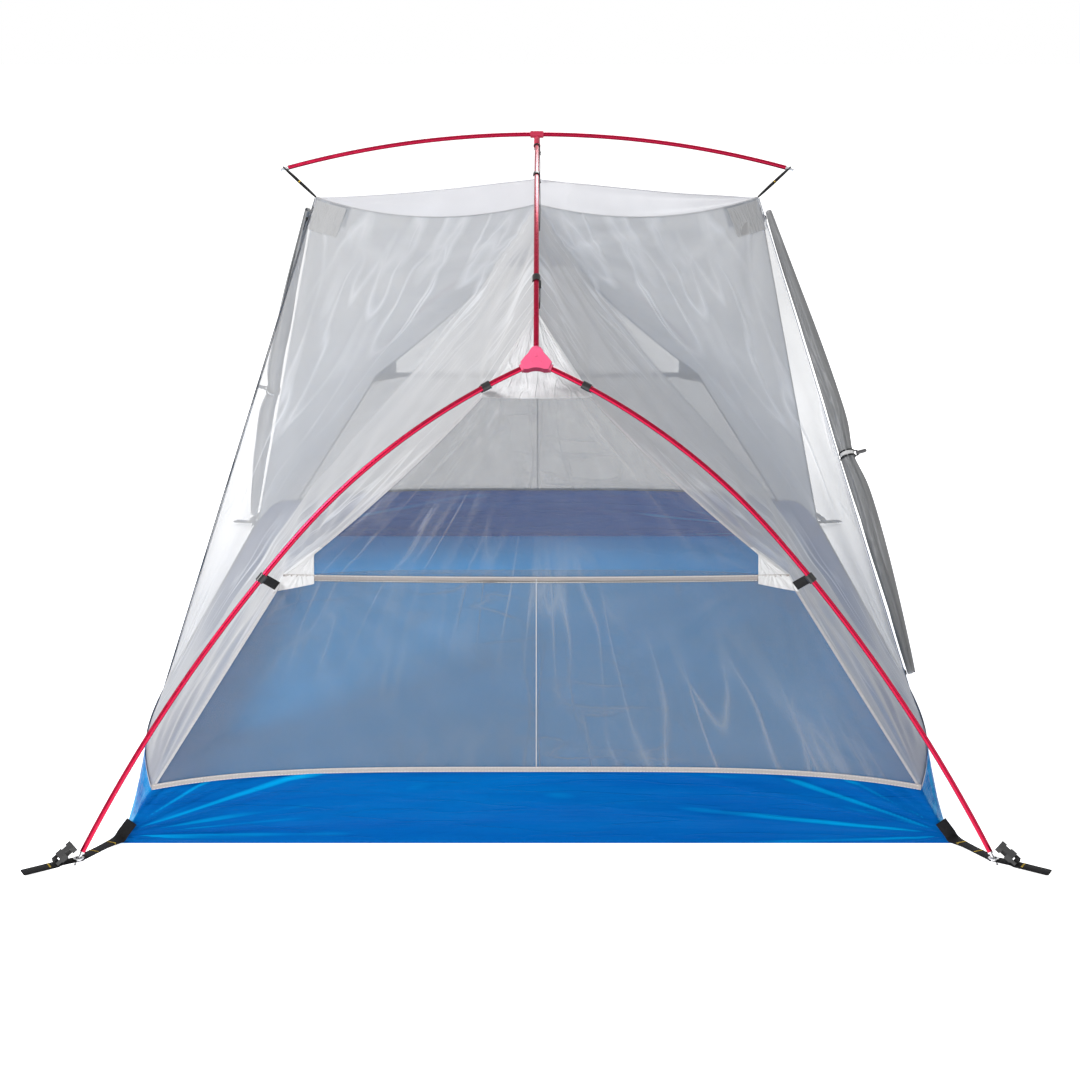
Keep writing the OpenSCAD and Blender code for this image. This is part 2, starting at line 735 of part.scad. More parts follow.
// Swivel between spine and crossbar: a collar with a socket below, a collar with a pin above
COLLAR_R = 7;
PIN_R = 2.5;
PIN_FIT = 0.05;
SADDLE_TOP = bar_z - 10.5;
module spine_saddle() {
  color("firebrick")
    difference() {
      union() {
        translate([0, 9, spine_z])
          rotate([90, 0, 0])
            cylinder(r = COLLAR_R, h = 18, $fn = FINE);
        translate([0, 0, spine_z])
          cylinder(r = 6, h = SADDLE_TOP - spine_z, $fn = FINE);
      }
      translate([0, 20, spine_z])
        rotate([90, 0, 0])
          cylinder(r = POLE_R + 0.1, h = 40, $fn = FINE);
      translate([0, 0, spine_z + POLE_R + 0.8])
        cylinder(r = PIN_R + PIN_FIT, h = 20, $fn = FINE);
    }
}
module crossbar_saddle() {
  color("firebrick") {
    difference() {
      union() {
        translate([-13, 0, bar_z])
          rotate([0, 90, 0])
            cylinder(r = COLLAR_R, h = 26, $fn = FINE);
        translate([0, 0, SADDLE_TOP + 0.4])
          cylinder(r = 6, h = bar_z - SADDLE_TOP - 0.4, $fn = FINE);
      }
      translate([-20, 0, bar_z])
        rotate([0, 90, 0])
          cylinder(r = POLE_R + 0.15, h = 40, $fn = FINE);
    }
    translate([0, 0, spine_z + POLE_R + 1.4])
      cylinder(r = PIN_R, h = SADDLE_TOP + 1 - spine_z - POLE_R - 1.4, $fn = FINE);
  }
}

// Y-shaped hub: a moulded plate with a socket for the spine and one for each leg
HUB_TILT = 50;
HUB_T = 12;
HUB_ARM = 27;
SOCKET_WALL = 7;
LEG_START = leg_along(LEG_OUT);
module hub_sockets(r, from, to) {
  multmatrix(frame([0, 0, 0], [0, -cos(SPINE_END), sin(SPINE_END)], [1, 0, 0],
    [0, sin(SPINE_END), cos(SPINE_END)]))
    bar(from, to, r, 0);
  for (sx = [-1, 1])
    mirror([sx < 0 ? 1 : 0, 0, 0])
      multmatrix(frame([0, 0, 0], LEG_START, unit(cross([0, 0, 1], LEG_START)),
        cross(LEG_START, unit(cross([0, 0, 1], LEG_START)))))
        bar(from, to, r, 0);
}
module hub_plate() {
  leg_a = -23;
  arm = 24;
  web = 17;
  // Plate outline: a disc-cornered Y with three hollow sides
  rotate([180 - HUB_TILT, 0, 0])
    mirror([0, 0, 1])
      translate([0, 0, -HUB_T / 2])
        linear_extrude(HUB_T)
          difference() {
            polygon([
              [-SOCKET_WALL, arm], [SOCKET_WALL, arm],
              [arm * cos(leg_a) + SOCKET_WALL * sin(-leg_a), arm * sin(leg_a) + SOCKET_WALL * cos(leg_a)],
              [arm * cos(leg_a) - SOCKET_WALL * sin(-leg_a), arm * sin(leg_a) - SOCKET_WALL * cos(leg_a)],
              [-arm * cos(leg_a) + SOCKET_WALL * sin(-leg_a), arm * sin(leg_a) - SOCKET_WALL * cos(leg_a)],
              [-arm * cos(leg_a) - SOCKET_WALL * sin(-leg_a), arm * sin(leg_a) + SOCKET_WALL * cos(leg_a)]
            ]);
            for (m = [0, 1])
              mirror([m, 0, 0])
                translate([web + 17, web + 10])
                  circle(r = 25, $fn = FINE);
            translate([0, -42])
              circle(r = 29, $fn = FINE);
          }
}
module hub(sy) {
  color("hotpink")
    quarter(1, sy)
      translate(HUB)
        difference() {
          union() {
            hub_plate();
            hub_sockets(SOCKET_WALL, 6, HUB_ARM);
          }
          hub_sockets(SOCKET_R, INSET - 1, HUB_ARM + 5);
        }
}

// Ferrules inside the pole joints, and the elastic cord that runs through each pole
FERRULE_R = pole_bore / 2 - 0.05;
FERRULE_BORE = 2.6;
CORD_R = 1.4;
CORD_THIN = 1.25;
CORD_LAP = 0.2;
module ferrule(bow, from, to) {
  bend(bow, from, to, FERRULE_R, FERRULE_BORE);
}
module pole_ferrules() {
  color("lightgray") {
    for (sx = [-1, 1], sy = [-1, 1])
      leg_frame(sx, sy)
        leg_arc(LOW_CENTRE)
          ferrule(BOW_LOW, LEG_MID - degrees(FERRULE, BOW_LOW), LEG_MID + degrees(FERRULE_SHORT, BOW_LOW));
    for (sy = [-1, 1])
      spine_frame(sy)
        translate([SPINE_LOW, 0, 0])
          ferrule(BOW_MID, SPINE_MID - degrees(FERRULE, BOW_MID), SPINE_MID + degrees(FERRULE_SHORT, BOW_MID));
    spine_frame(1)
      translate([SPINE_LOW, 0, 0])
        ferrule(BOW_MID, -degrees(FERRULE, BOW_MID), degrees(FERRULE, BOW_MID));
  }
}
module crossbar_ferrule() {
  color("lightgray")
    crossbar_frame(1)
      ferrule(BAR_BOW, -degrees(FERRULE, BAR_BOW), degrees(FERRULE, BAR_BOW));
}
module shock_cords() {
  color("white") {
    for (sx = [-1, 1], sy = [-1, 1])
      leg_frame(sx, sy) {
        leg_arc(UP_CENTRE)
          bend(BOW_UP, LEG_MID - CORD_LAP, LEG_OUT - 1, CORD_R, 0);
        leg_arc(LOW_CENTRE)
          bend(BOW_LOW, TIP_A + 0.5, LEG_MID, CORD_THIN, 0);
      }
    spine_frame(1)
      translate([SPINE_LOW, 0, 0])
        bend(BOW_MID, -SPINE_MID - CORD_LAP, SPINE_MID + CORD_LAP, CORD_R, 0);
    for (sy = [-1, 1])
      spine_frame(sy)
        translate([SPINE_C[1], SPINE_C[0], 0])
          bend(BOW_END, SPINE_MID, SPINE_END - 1, CORD_THIN, 0);
  }
}
module crossbar_cord() {
  color("white")
    crossbar_frame(1)
      bend(BAR_BOW, -BAR_END + 0.6, BAR_END - 0.6, CORD_R, 0);
}

// ---- corner webbing, grommet and buckle, in the +X +Y quarter ----
GROMMET_Z = 12;
GROMMET = FOOT - LEG_DIR * ((GROMMET_Z - FOOT_R) / -LEG_DIR.z);
GROMMET_R = 5;
STRAP_START = [floor_w / 2 - 1, floor_l / 2 + 1, 6];
LOOP_AT = [foot_x + 27, foot_y + 16, GROMMET_Z - 1];
LOOP_END = [foot_x + 74, foot_y + 42, 8];
module strap(p, q, w) {
  ex = unit(q - p);
  ey = unit(cross([0, 0, 1], ex));
  multmatrix(frame(p, ex, ey, cross(ex, ey)))
    translate([0, -w / 2, -strap_t / 2])
      cube([norm(q - p), w, strap_t]);
}
BUCKLE_RING = 4.4;
BUCKLE_BORE = 2.6;
LOOP_X = unit([LOOP_END.x - LOOP_AT.x, LOOP_END.y - LOOP_AT.y, 0]);
LOOP_Y = [-LOOP_X.y, LOOP_X.x, 0];
BUCKLE_AT = LOOP_AT + [0, 0, strap_t / 2 + BUCKLE_RING - 0.2];
// Stake loop: webbing doubled back on itself, lying flat, with a rounded end
module stake_loop() {
  l = norm([LOOP_END.x - LOOP_AT.x, LOOP_END.y - LOOP_AT.y, 0]);
  multmatrix(frame(LOOP_AT, LOOP_X, LOOP_Y, [0, 0, 1]))
    translate([0, 0, -1.5 * strap_t - 0.3])
      linear_extrude(2 * strap_t) {
        translate([-2, -strap_w / 2])
          square([l - strap_w / 2 + 2, strap_w]);
        translate([l - strap_w / 2, 0])
          circle(r = strap_w / 2, $fn = 32);
      }
}
module webbing_quarter() {
  difference() {
    union() {
      strap(STRAP_START, GROMMET, strap_w);
      strap(GROMMET, LOOP_AT + LOOP_X * 3, strap_w);
      translate(GROMMET - [0, 0, strap_t / 2 + 0.3])
        cylinder(r = strap_w / 2 + 0.4, h = strap_t + 0.6, $fn = 32);
    }
    translate(GROMMET - [0, 0, 10])
      cylinder(r = GROMMET_R + 1.2, h = 20, $fn = FINE);
  }
  stake_loop();
  // Ring of webbing that holds the buckle's bar
  multmatrix(frame(BUCKLE_AT, LOOP_X, LOOP_Y, [0, 0, 1]))
    rotate([90, 0, 0])
      translate([0, 0, -8])
        difference() {
          cylinder(r = BUCKLE_RING, h = 16, $fn = FINE);
          translate([0, 0, -1])
            cylinder(r = BUCKLE_BORE, h = 18, $fn = FINE);
        }
  // Tab sewn up the bathtub's end, from its corner
  translate([floor_w / 2 - 22, floor_l / 2 + 0.4, 38])
    rotate([0, 57, 0])
      translate([0, 0, -8])
        cube([38, strap_t, 16]);
}
module corner_webbing() {
  color("dimgray")
    for (sx = [-1, 1], sy = [-1, 1])
      quarter(sx, sy)
        webbing_quarter();
}
module foot_grommets() {
  color("silver")
    for (sx = [-1, 1], sy = [-1, 1])
      quarter(sx, sy)
        translate(GROMMET)
          rotate_extrude($fn = FINE) {
            translate([GROMMET_R, -strap_t / 2 - 1.5])
              square([1.1, strap_t + 3]);
            for (y = [-strap_t / 2 - 1.6, strap_t / 2 + 0.6])
              translate([GROMMET_R, y])
                square([3.6, 1]);
          }
}

// Socket half of a side-release buckle, for the cover that goes over the tent
BUCKLE_UP = 35;
BUCKLE_W = 25;
BUCKLE_L = 36;
BUCKLE_T = 9;
module buckle(sx, sy) {
  color("black")
    quarter(sx, sy)
      multmatrix(frame(BUCKLE_AT, -LOOP_X * cos(BUCKLE_UP) + [0, 0, sin(BUCKLE_UP)], -LOOP_Y,
        LOOP_X * sin(BUCKLE_UP) + [0, 0, cos(BUCKLE_UP)]))
        difference() {
          union() {
            translate([6.5, -BUCKLE_W / 2, -BUCKLE_T / 2])
              cube([BUCKLE_L - 6.5, BUCKLE_W, BUCKLE_T]);
            for (y = [-BUCKLE_W / 2, BUCKLE_W / 2 - 3])
              translate([-2.6, y, -2.6])
                cube([12, 3, 5.2]);
            translate([0, BUCKLE_W / 2, 0])
              rotate([90, 0, 0])
                cylinder(r = BUCKLE_BORE - 0.1, h = BUCKLE_W, $fn = FINE);
          }
          translate([11, -9.5, -2.8])
            cube([BUCKLE_L, 19, 5.6]);
          for (m = [0, 1])
            mirror([0, m, 0])
              translate([18, 7.5, -BUCKLE_T])
                cube([9, 8, 2 * BUCKLE_T]);
        }
}

// ---- clips: a C-shaped hook over the pole, a bar for its webbing, and the webbing to the cloth ----
CLIP_L = 14;
CLIP_BORE = POLE_R + 0.25;
CLIP_R = CLIP_BORE + 2.1;
CLIP_TAIL = 12.5;
// Frame with x from the pole at p towards the cloth at q, and z along the pole
function across(p, along, q) = q - p - along * ((q - p) * along);
function clip_frame(p, along, q) = let (ex = unit(across(p, along, q)))
  frame(p, ex, cross(along, ex), along);
module clip() {
  translate([0, 0, -CLIP_L / 2])
    difference() {
      union() {
        cylinder(r = CLIP_R, h = CLIP_L, $fn = FINE);
        translate([0, -CLIP_R, 0])
          cube([CLIP_TAIL, 3.4, CLIP_L]);
      }
      translate([0, 0, -1])
        cylinder(r = CLIP_BORE, h = CLIP_L + 2, $fn = FINE);
      // Mouth of the hook
      rotate([0, 0, 42])
        translate([0, -3.6, -1])
          cube([20, 7.2, CLIP_L + 2]);
    }
  translate([CLIP_TAIL - 2.4, -CLIP_R - 1.2, -tab_w / 2 - 1.5])
    cube([2.4, 5.6, tab_w + 3]);
}
// Webbing from the clip's bar to the cloth, l long from the pole's axis
module clip_tab(l) {
  translate([CLIP_TAIL + 0.5, -CLIP_R + 1.6 - strap_t / 2, -tab_w / 2])
    cube([l - CLIP_TAIL - 0.5, strap_t, tab_w]);
}

// The angles at which clips sit on the leg and on the spine's two arcs
HUB_CLIP_A = 19.5;
LEG_CLIP_A = -3.4;
LEG_ANCHOR_Z = 452;
SPINE_CLIP_A = 33;
SPINE_CLIP_B = 8.7;
SPINE_CLIP_C = 0.6;
TAB_SHORT = 3;
TAB_SHORT_LEG = 5;
module at_clip(p, along, q, short = TAB_SHORT) {
  $reach = norm(across(p, along, q)) - short;
  multmatrix(clip_frame(p, along, q))
    children();
}
module each_clip() {
  for (sx = [-1, 1], sy = [-1, 1])
    quarter(sx, sy) {
      at_clip(leg_at(HUB_CLIP_A), leg_along(HUB_CLIP_A), PATCH_LOW)
        children();
      at_clip(leg_at(LEG_CLIP_A), leg_along(LEG_CLIP_A), edge_point(LEG_ANCHOR_Z), TAB_SHORT_LEG)
        children();
    }
  for (sy = [-1, 1])
    quarter(1, sy) {
      at_clip(spine_end_at(SPINE_CLIP_A), spine_along(SPINE_CLIP_A), PATCH_TIP)
        children();
      at_clip(spine_mid_at(SPINE_CLIP_B), spine_along(SPINE_CLIP_B), [0, CLIP_B_Y, CLIP_B_Z])
        children();
    }
  quarter(1, -1)
    at_clip(spine_mid_at(SPINE_CLIP_C), spine_along(SPINE_CLIP_C), [0, 8, peak_z])
      children();
}
module pole_clips() {
  color("black")
    each_clip()
      clip();
}
module clip_tabs() {
  color("dimgray")
    each_clip()
      clip_tab($reach);
}

// Straps from the roof's corners, each held by a crossbar tip through its end. The lower half stays
// with the roof and the upper half follows the crossbar.
BAR_STRAP_IN = 7;
BAR_STRAP_TIP = [
  BAR_BOW * sin(BAR_END) + BAR_STRAP_IN * cos(BAR_END), 0,
  bar_z - BAR_BOW + BAR_BOW * cos(BAR_END) - BAR_STRAP_IN * sin(BAR_END)
];
BAR_STRAP_LOW = ROOF_CORNER + [4, 0, 5];
BAR_STRAP_L = norm(BAR_STRAP_TIP - BAR_STRAP_LOW);
module bar_strap(from, to) {
  ex = unit(BAR_STRAP_TIP - BAR_STRAP_LOW);
  for (sx = [-1, 1])
    mirror([sx < 0 ? 1 : 0, 0, 0])
      multmatrix(frame(BAR_STRAP_LOW, ex, [0, 1, 0], cross(ex, [0, 1, 0])))
        difference() {
          translate([from, -tab_w / 2, -strap_t / 2])
            cube([to - from, tab_w, strap_t]);
          translate([BAR_STRAP_L, 0, -5])
            cylinder(r = TIP_R + 1.5, h = 10, $fn = 32);
        }
}
module crossbar_straps() {
  color("dimgray")
    bar_strap(0, BAR_STRAP_L / 2 - 2);
}
module crossbar_strap_ends() {
  color("dimgray")
    bar_strap(BAR_STRAP_L / 2 + 2, BAR_STRAP_L + 12);
}

floor();
end_wall(-1);  // near_end_wall
end_wall(1);  // far_end_wall
side_wall(-1, -1);  // near_left_wall
side_wall(1, -1);  // near_right_wall
side_wall(-1, 1);  // far_left_wall
side_wall(1, 1);  // far_right_wall
roof_panel();
hub_patches();
corner_patches();
pocket(-1);  // near_pocket
pocket(1);  // far_pocket
door_roll(-1);  // left_door_roll
door_roll(1);  // right_door_roll
zip_tapes();
edge_slider(-1);  // left_edge_slider
edge_slider(1);  // right_edge_slider
sill_slider(-1);  // left_sill_slider
sill_slider(1);  // right_sill_slider
edge_pull(-1);  // left_edge_pull
edge_pull(1);  // right_edge_pull
sill_pull(-1);  // left_sill_pull
sill_pull(1);  // right_sill_pull
door_ties();
toggle(-1);  // left_toggle
toggle(1);  // right_toggle
hub(-1);  // near_hub
hub(1);  // far_hub
leg_upper(-1, -1);  // near_left_leg_upper
leg_upper(1, -1);  // near_right_leg_upper
leg_upper(-1, 1);  // far_left_leg_upper
leg_upper(1, 1);  // far_right_leg_upper
leg_lower(-1, -1);  // near_left_leg_lower
leg_lower(1, -1);  // near_right_leg_lower
leg_lower(-1, 1);  // far_left_leg_lower
leg_lower(1, 1);  // far_right_leg_lower
spine_outer(-1);  // near_spine_outer
spine_inner(-1);  // near_spine_inner
spine_inner(1);  // far_spine_inner
spine_outer(1);  // far_spine_outer
crossbar(-1);  // crossbar_left
crossbar(1);  // crossbar_right
spine_saddle();
crossbar_saddle();
leg_tips();
crossbar_tips();
pole_ferrules();
crossbar_ferrule();
shock_cords();
crossbar_cord();
corner_webbing();
foot_grommets();
buckle(-1, -1);  // near_left_buckle
buckle(1, -1);  // near_right_buckle
buckle(-1, 1);  // far_left_buckle
buckle(1, 1);  // far_right_buckle
pole_clips();
clip_tabs();
crossbar_straps();
crossbar_strap_ends();
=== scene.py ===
import bmesh  # noqa: E402
import bpy  # noqa: E402
import math  # noqa: E402
import numpy as np  # noqa: E402
from mathutils import Matrix, Vector  # noqa: E402


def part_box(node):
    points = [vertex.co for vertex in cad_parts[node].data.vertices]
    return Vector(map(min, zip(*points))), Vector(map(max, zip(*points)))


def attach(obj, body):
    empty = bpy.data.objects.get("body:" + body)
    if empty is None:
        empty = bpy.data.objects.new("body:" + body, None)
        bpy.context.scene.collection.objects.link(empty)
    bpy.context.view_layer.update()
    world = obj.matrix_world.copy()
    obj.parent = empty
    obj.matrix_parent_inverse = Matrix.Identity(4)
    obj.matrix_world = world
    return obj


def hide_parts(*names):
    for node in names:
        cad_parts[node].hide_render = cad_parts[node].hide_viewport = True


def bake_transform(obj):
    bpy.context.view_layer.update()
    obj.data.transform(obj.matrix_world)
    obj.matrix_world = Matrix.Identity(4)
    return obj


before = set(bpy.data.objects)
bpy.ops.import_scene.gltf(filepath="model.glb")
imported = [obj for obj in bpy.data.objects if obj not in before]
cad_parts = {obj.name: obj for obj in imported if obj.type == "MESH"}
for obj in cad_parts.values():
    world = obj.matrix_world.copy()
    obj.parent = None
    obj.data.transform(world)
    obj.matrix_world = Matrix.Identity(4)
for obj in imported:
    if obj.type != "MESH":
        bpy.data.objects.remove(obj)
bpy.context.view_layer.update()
MM = 0.001
TENT = "tent"
QUARTERS = {"near_left": (-1, -1), "near_right": (1, -1), "far_left": (-1, 1), "far_right": (1, 1)}

# ---------------------------------------------------------------- camera
CAM_AT = (0.006, -4.26, 1.294)
CAM_DOWN = 13.8
CAM_LENS = 70.5
camera = bpy.data.objects.new("camera", bpy.data.cameras.new("camera"))
bpy.context.scene.collection.objects.link(camera)
camera.location = CAM_AT
camera.rotation_euler = (math.radians(90 - CAM_DOWN), 0, 0)
camera.data.lens = CAM_LENS
camera.data.sensor_width = 36
camera.data.clip_end = 100
bpy.context.scene.camera = camera

# ---------------------------------------------------------------- the tent's lines, in mm
# They are those of the quarter with x and y above 0; the other quarters are its mirror images.
FLOOR_L, FLOOR_W = 2100.0, 1350.0
TUB_SIDE, TUB_END, TUB_CORNER = 130.0, 123.0, 93.0
PEAK_Z, ROOF_HALF, ROOF_CORNER_Z, ROOF_REACH = 989.0, 441.0, 951.0, 200.0
TIP_Y, TIP_Z = 790.0, 830.0
END_TOP, END_TOP_HALF = 710.0, 90.0
POCKET_Z, POCKET_HALF = 431.0, 404.0
DOOR_HALF = 650.0
CORNER_X = FLOOR_W / 2 - 55
END_LEAN, END_CURVE, EDGE_SAG = 0.0469, 0.000182, 12.0
CLIP_B_Y, CLIP_Z = 370.0, 452.0
SEAM_SAG, CREST_SAG = 27.0, 5.6
V_PATCH, U_RIDGE = 0.8, 0.55


def lerp(a, b, t):
    return a + (b - a) * t


def sag(t):
    return 4 * t * (1 - t)


def held(x):
    return np.clip(x, 0, 1)


def pts(x, y, z):
    return np.stack(np.broadcast_arrays(np.asarray(x, float), np.asarray(y, float), np.asarray(z, float)), -1)


def unit(v):
    v = np.asarray(v, float)
    return v / (np.linalg.norm(v, axis=-1, keepdims=True) + 1e-12)


CLIP_B_Z = lerp(PEAK_Z, TIP_Z, CLIP_B_Y / TIP_Y) + 10


def end_y(z):
    return FLOOR_L / 2 - END_LEAN * z - END_CURVE * z * z


def edge_x(z):
    z = np.asarray(z, float)
    t = (z - POCKET_Z) / (END_TOP - POCKET_Z)
    low = lerp(CORNER_X, POCKET_HALF, (z - TUB_CORNER) / (POCKET_Z - TUB_CORNER))
    return np.where(z < POCKET_Z, low, lerp(POCKET_HALF, END_TOP_HALF, t) - EDGE_SAG * sag(t))


def edge_point(z):
    return pts(edge_x(z), end_y(z), z)


def tub_end_top(f):
    """Height of the bathtub's end at share f of its half width."""
    return TUB_END - (TUB_END - TUB_CORNER) * np.abs(f) ** 4


def tub_side_top(y):
    k = np.abs(y) / end_y(TUB_CORNER)
    return pts(FLOOR_W / 2 - 7 - 48 * k**8, y, TUB_SIDE - (TUB_SIDE - TUB_CORNER) * k**10)


def ridge_z(y):
    y = np.asarray(y, float)
    inner = lerp(PEAK_Z, CLIP_B_Z, y / CLIP_B_Y)
    outer = lerp(CLIP_B_Z, TIP_Z, (y - CLIP_B_Y) / (TIP_Y - CLIP_B_Y))
    return np.where(y < CLIP_B_Y, inner, outer)


PATCH_LOW = np.array([END_TOP_HALF, end_y(END_TOP), END_TOP])
PATCH_TIP = np.array([0, TIP_Y, TIP_Z])
ROOF_CORNER = np.array([ROOF_HALF, 0, ROOF_CORNER_Z])
SILL_END = tub_side_top(DOOR_HALF)


def seam_point(w):
    """The seam between roof and side wall, from the ridge to the roof's corner."""
    z = lerp(float(ridge_z(ROOF_REACH)), ROOF_CORNER_Z, w) - SEAM_SAG * sag(w)
    return pts(ROOF_HALF * w, ROOF_REACH * (1 - w * w), z)


def crest_z(w):
    return lerp(PEAK_Z, ROOF_CORNER_Z, w) - CREST_SAG * sag(w)


def wall_low(u):
    return tub_side_top(lerp(end_y(TUB_CORNER), DOOR_HALF, u))


def wall_end(v):
    v = np.asarray(v, float)
    t = held((v - V_PATCH) / (1 - V_PATCH))[..., None]
    low = edge_point(lerp(TUB_CORNER, END_TOP, held(v / V_PATCH)))
    return np.where(v[..., None] < V_PATCH, low, lerp(PATCH_LOW, PATCH_TIP, t))


def wall_door(v):
    return lerp(SILL_END, ROOF_CORNER, np.asarray(v, float)[..., None])


def wall_high(u):
    u = np.asarray(u, float)
    y = lerp(TIP_Y, ROOF_REACH, held(u / U_RIDGE))
    ridge = pts(0, y, ridge_z(y))
    return np.where(u[..., None] < U_RIDGE, ridge, seam_point(held((u - U_RIDGE) / (1 - U_RIDGE))))


def wall_point(u, v):
    """The side wall's surface between its four edges, u towards the doorway and v upwards."""
    u, v = np.broadcast_arrays(np.asarray(u, float), np.asarray(v, float))
    a, b = u[..., None], v[..., None]
    foot = wall_low(0.0)
    return (
        (1 - b) * wall_low(u) + b * wall_high(u) + (1 - a) * wall_end(v) + a * wall_door(v)
        - (1 - a) * (1 - b) * foot - a * (1 - b) * SILL_END - (1 - a) * b * PATCH_TIP - a * b * ROOF_CORNER
    )


# ---------------------------------------------------------------- materials
def new_material(name):
    m = bpy.data.materials.new(name)
    m.use_nodes = True
    m.node_tree.nodes.clear()
    return m


class Graph:
    """A short way to write a node graph."""

    def __init__(self, material):
        self.tree = material.node_tree

    def node(self, kind, _props=None, **inputs):
        n = self.tree.nodes.new(kind)
        for k, v in (_props or {}).items():
            setattr(n, k, v)
        for k, v in inputs.items():
            key = int(k[1:]) if k[0] == "i" and k[1:].isdigit() else k.replace("_", " ")
            s = n.inputs[key]
            if isinstance(v, bpy.types.NodeSocket):
                self.tree.links.new(v, s)
            else:
                s.default_value = v
        return n

    def math(self, op, a, b=0.0, c=0.0):
        n = self.tree.nodes.new("ShaderNodeMath")
        n.operation = op
        for s, v in zip(n.inputs, (a, b, c)):
            if isinstance(v, bpy.types.NodeSocket):
                self.tree.links.new(v, s)
            else:
                s.default_value = v
        return n.outputs[0]

    def mul(self, a, b):
        return self.math("MULTIPLY", a, b)

    def add(self, a, b):
        return self.math("ADD", a, b)

    def mul_add(self, a, b, c):
        return self.math("MULTIPLY_ADD", a, b, c)

    def mix(self, f, a, b):
        n = self.tree.nodes.new("ShaderNodeMix")
        n.data_type = "RGBA"
        for s, v in ((n.inputs[0], f), (n.inputs[6], a), (n.inputs[7], b)):
            if isinstance(v, bpy.types.NodeSocket):
                self.tree.links.new(v, s)
            else:
                s.default_value = (*v, 1.0) if hasattr(v, "__len__") and len(v) == 3 else v
        return n.outputs[2]

    def ramp(self, f, stops):
        n = self.tree.nodes.new("ShaderNodeValToRGB")
        e = n.color_ramp.elements
        while len(e) < len(stops):
            e.new(0.5)
        for x, (p, v) in zip(e, stops):
            x.position = p
            x.color = (v, v, v, 1)
        self.tree.links.new(f, n.inputs[0])
        return n.outputs[0]

    def scaled(self, vector, scale, turn=0.0):
        return self.node("ShaderNodeMapping", Vector=vector, Scale=scale, Rotation=(0, 0, turn)).outputs[0]

    def noise(self, vector, scale, detail=3.0, rough=0.55, turn=0.0):
        v = self.scaled(vector, scale if hasattr(scale, "__len__") else (scale,) * 3, turn)
        return self.node("ShaderNodeTexNoise", Vector=v, Scale=1.0, Detail=detail, Roughness=rough).outputs[0]

    def out(self, shader):
        self.tree.links.new(shader, self.tree.nodes.new("ShaderNodeOutputMaterial").inputs[0])


def weave(g, uv, across, along):
    """Height of a plain weave, 0 to 1, with threads that far apart in metres."""
    s = g.node("ShaderNodeSeparateXYZ", Vector=uv)
    a = g.math("SINE", g.mul(s.outputs[0], 2 * math.pi / across))
    b = g.math("SINE", g.mul(s.outputs[1], 2 * math.pi / along))
    return g.mul_add(g.mul(a, b), 0.5, 0.5)


def creases(g, uv, scale, turn, width=0.035):
    """Thin lines where cloth was folded, 1 on the line."""
    off = g.math("ABSOLUTE", g.math("SUBTRACT", g.noise(uv, scale, 1.5, 0.5, turn), 0.5))
    return g.math("SUBTRACT", 1.0, g.math("MINIMUM", g.math("DIVIDE", off, width), 1.0))


def mesh_cloth(name, thread, front, back, crease=((15, 1.5, 1), (11, 2.0, 1)), turns=(0.06, -0.5)):
    """Fine netting, denser where it is seen aslant; front and back set how dense each face looks."""
    m = new_material(name)
    g = Graph(m)
    uv = g.node("ShaderNodeUVMap").outputs[0]
    geo = g.node("ShaderNodeNewGeometry")
    line = g.math("MAXIMUM", creases(g, uv, crease[0], turns[0]), creases(g, uv, crease[1], turns[1], 0.03))
    where = g.ramp(g.noise(uv, 2.6, 2.0), [(0.42, 0.0), (0.62, 1.0)])
    line = g.mul(line, where)
    big = g.noise(uv, (5, 2.2, 1), 3.0, 0.6, 0.3)
    blot = g.ramp(big, [(0.3, 0.0), (0.7, 1.0)])
    net = weave(g, uv, 0.0011, 0.0013)
    height = g.add(g.mul(line, 0.5), big)
    bump = g.node("ShaderNodeBump", Height=height, Strength=0.4, Distance=0.007).outputs[0]
    facing = g.node("ShaderNodeVectorMath", {"operation": "DOT_PRODUCT"}, i0=bump, i1=geo.outputs["Incoming"])
    slant = g.math("MAXIMUM", g.math("ABSOLUTE", facing.outputs["Value"]), 0.16)
    depth = g.mul_add(geo.outputs["Backfacing"], back - front, front)
    depth = g.mul(depth, g.mul_add(net, 0.7, 0.65))
    depth = g.mul(depth, g.mul_add(blot, 0.16, 0.92))
    depth = g.mul_add(line, 0.20, depth)
    open_share = g.math("EXPONENT", g.mul(g.math("DIVIDE", depth, slant), -1.0))
    solid = g.math("SUBTRACT", 1.0, open_share)
    shade = g.mix(g.ramp(g.noise(uv, 3.0, 4.0), [(0.3, 0.0), (0.7, 1.0)]), [c * 0.93 for c in thread], thread)
    # Painted highlight: the crease lines are drawn lighter, as where folds catch the light.
    shade = g.mix(g.mul(line, 0.5), shade, [min(1, c * 1.7) for c in thread])
    diffuse = g.node("ShaderNodeBsdfDiffuse", Color=shade, Roughness=0.6, Normal=bump).outputs[0]
    through = g.node("ShaderNodeBsdfTranslucent", Color=shade, Normal=bump).outputs[0]
    gloss = g.node("ShaderNodeBsdfGlossy", Color=(0.8, 0.8, 0.82, 1), Roughness=0.4, Normal=bump).outputs[0]
    body = g.node("ShaderNodeMixShader", i0=0.4, i1=diffuse, i2=through).outputs[0]
    body = g.node("ShaderNodeMixShader", i0=0.05, i1=body, i2=gloss).outputs[0]
    clear = g.node("ShaderNodeBsdfTransparent").outputs[0]
    g.out(g.node("ShaderNodeMixShader", i0=solid, i1=clear, i2=body).outputs[0])
    return m


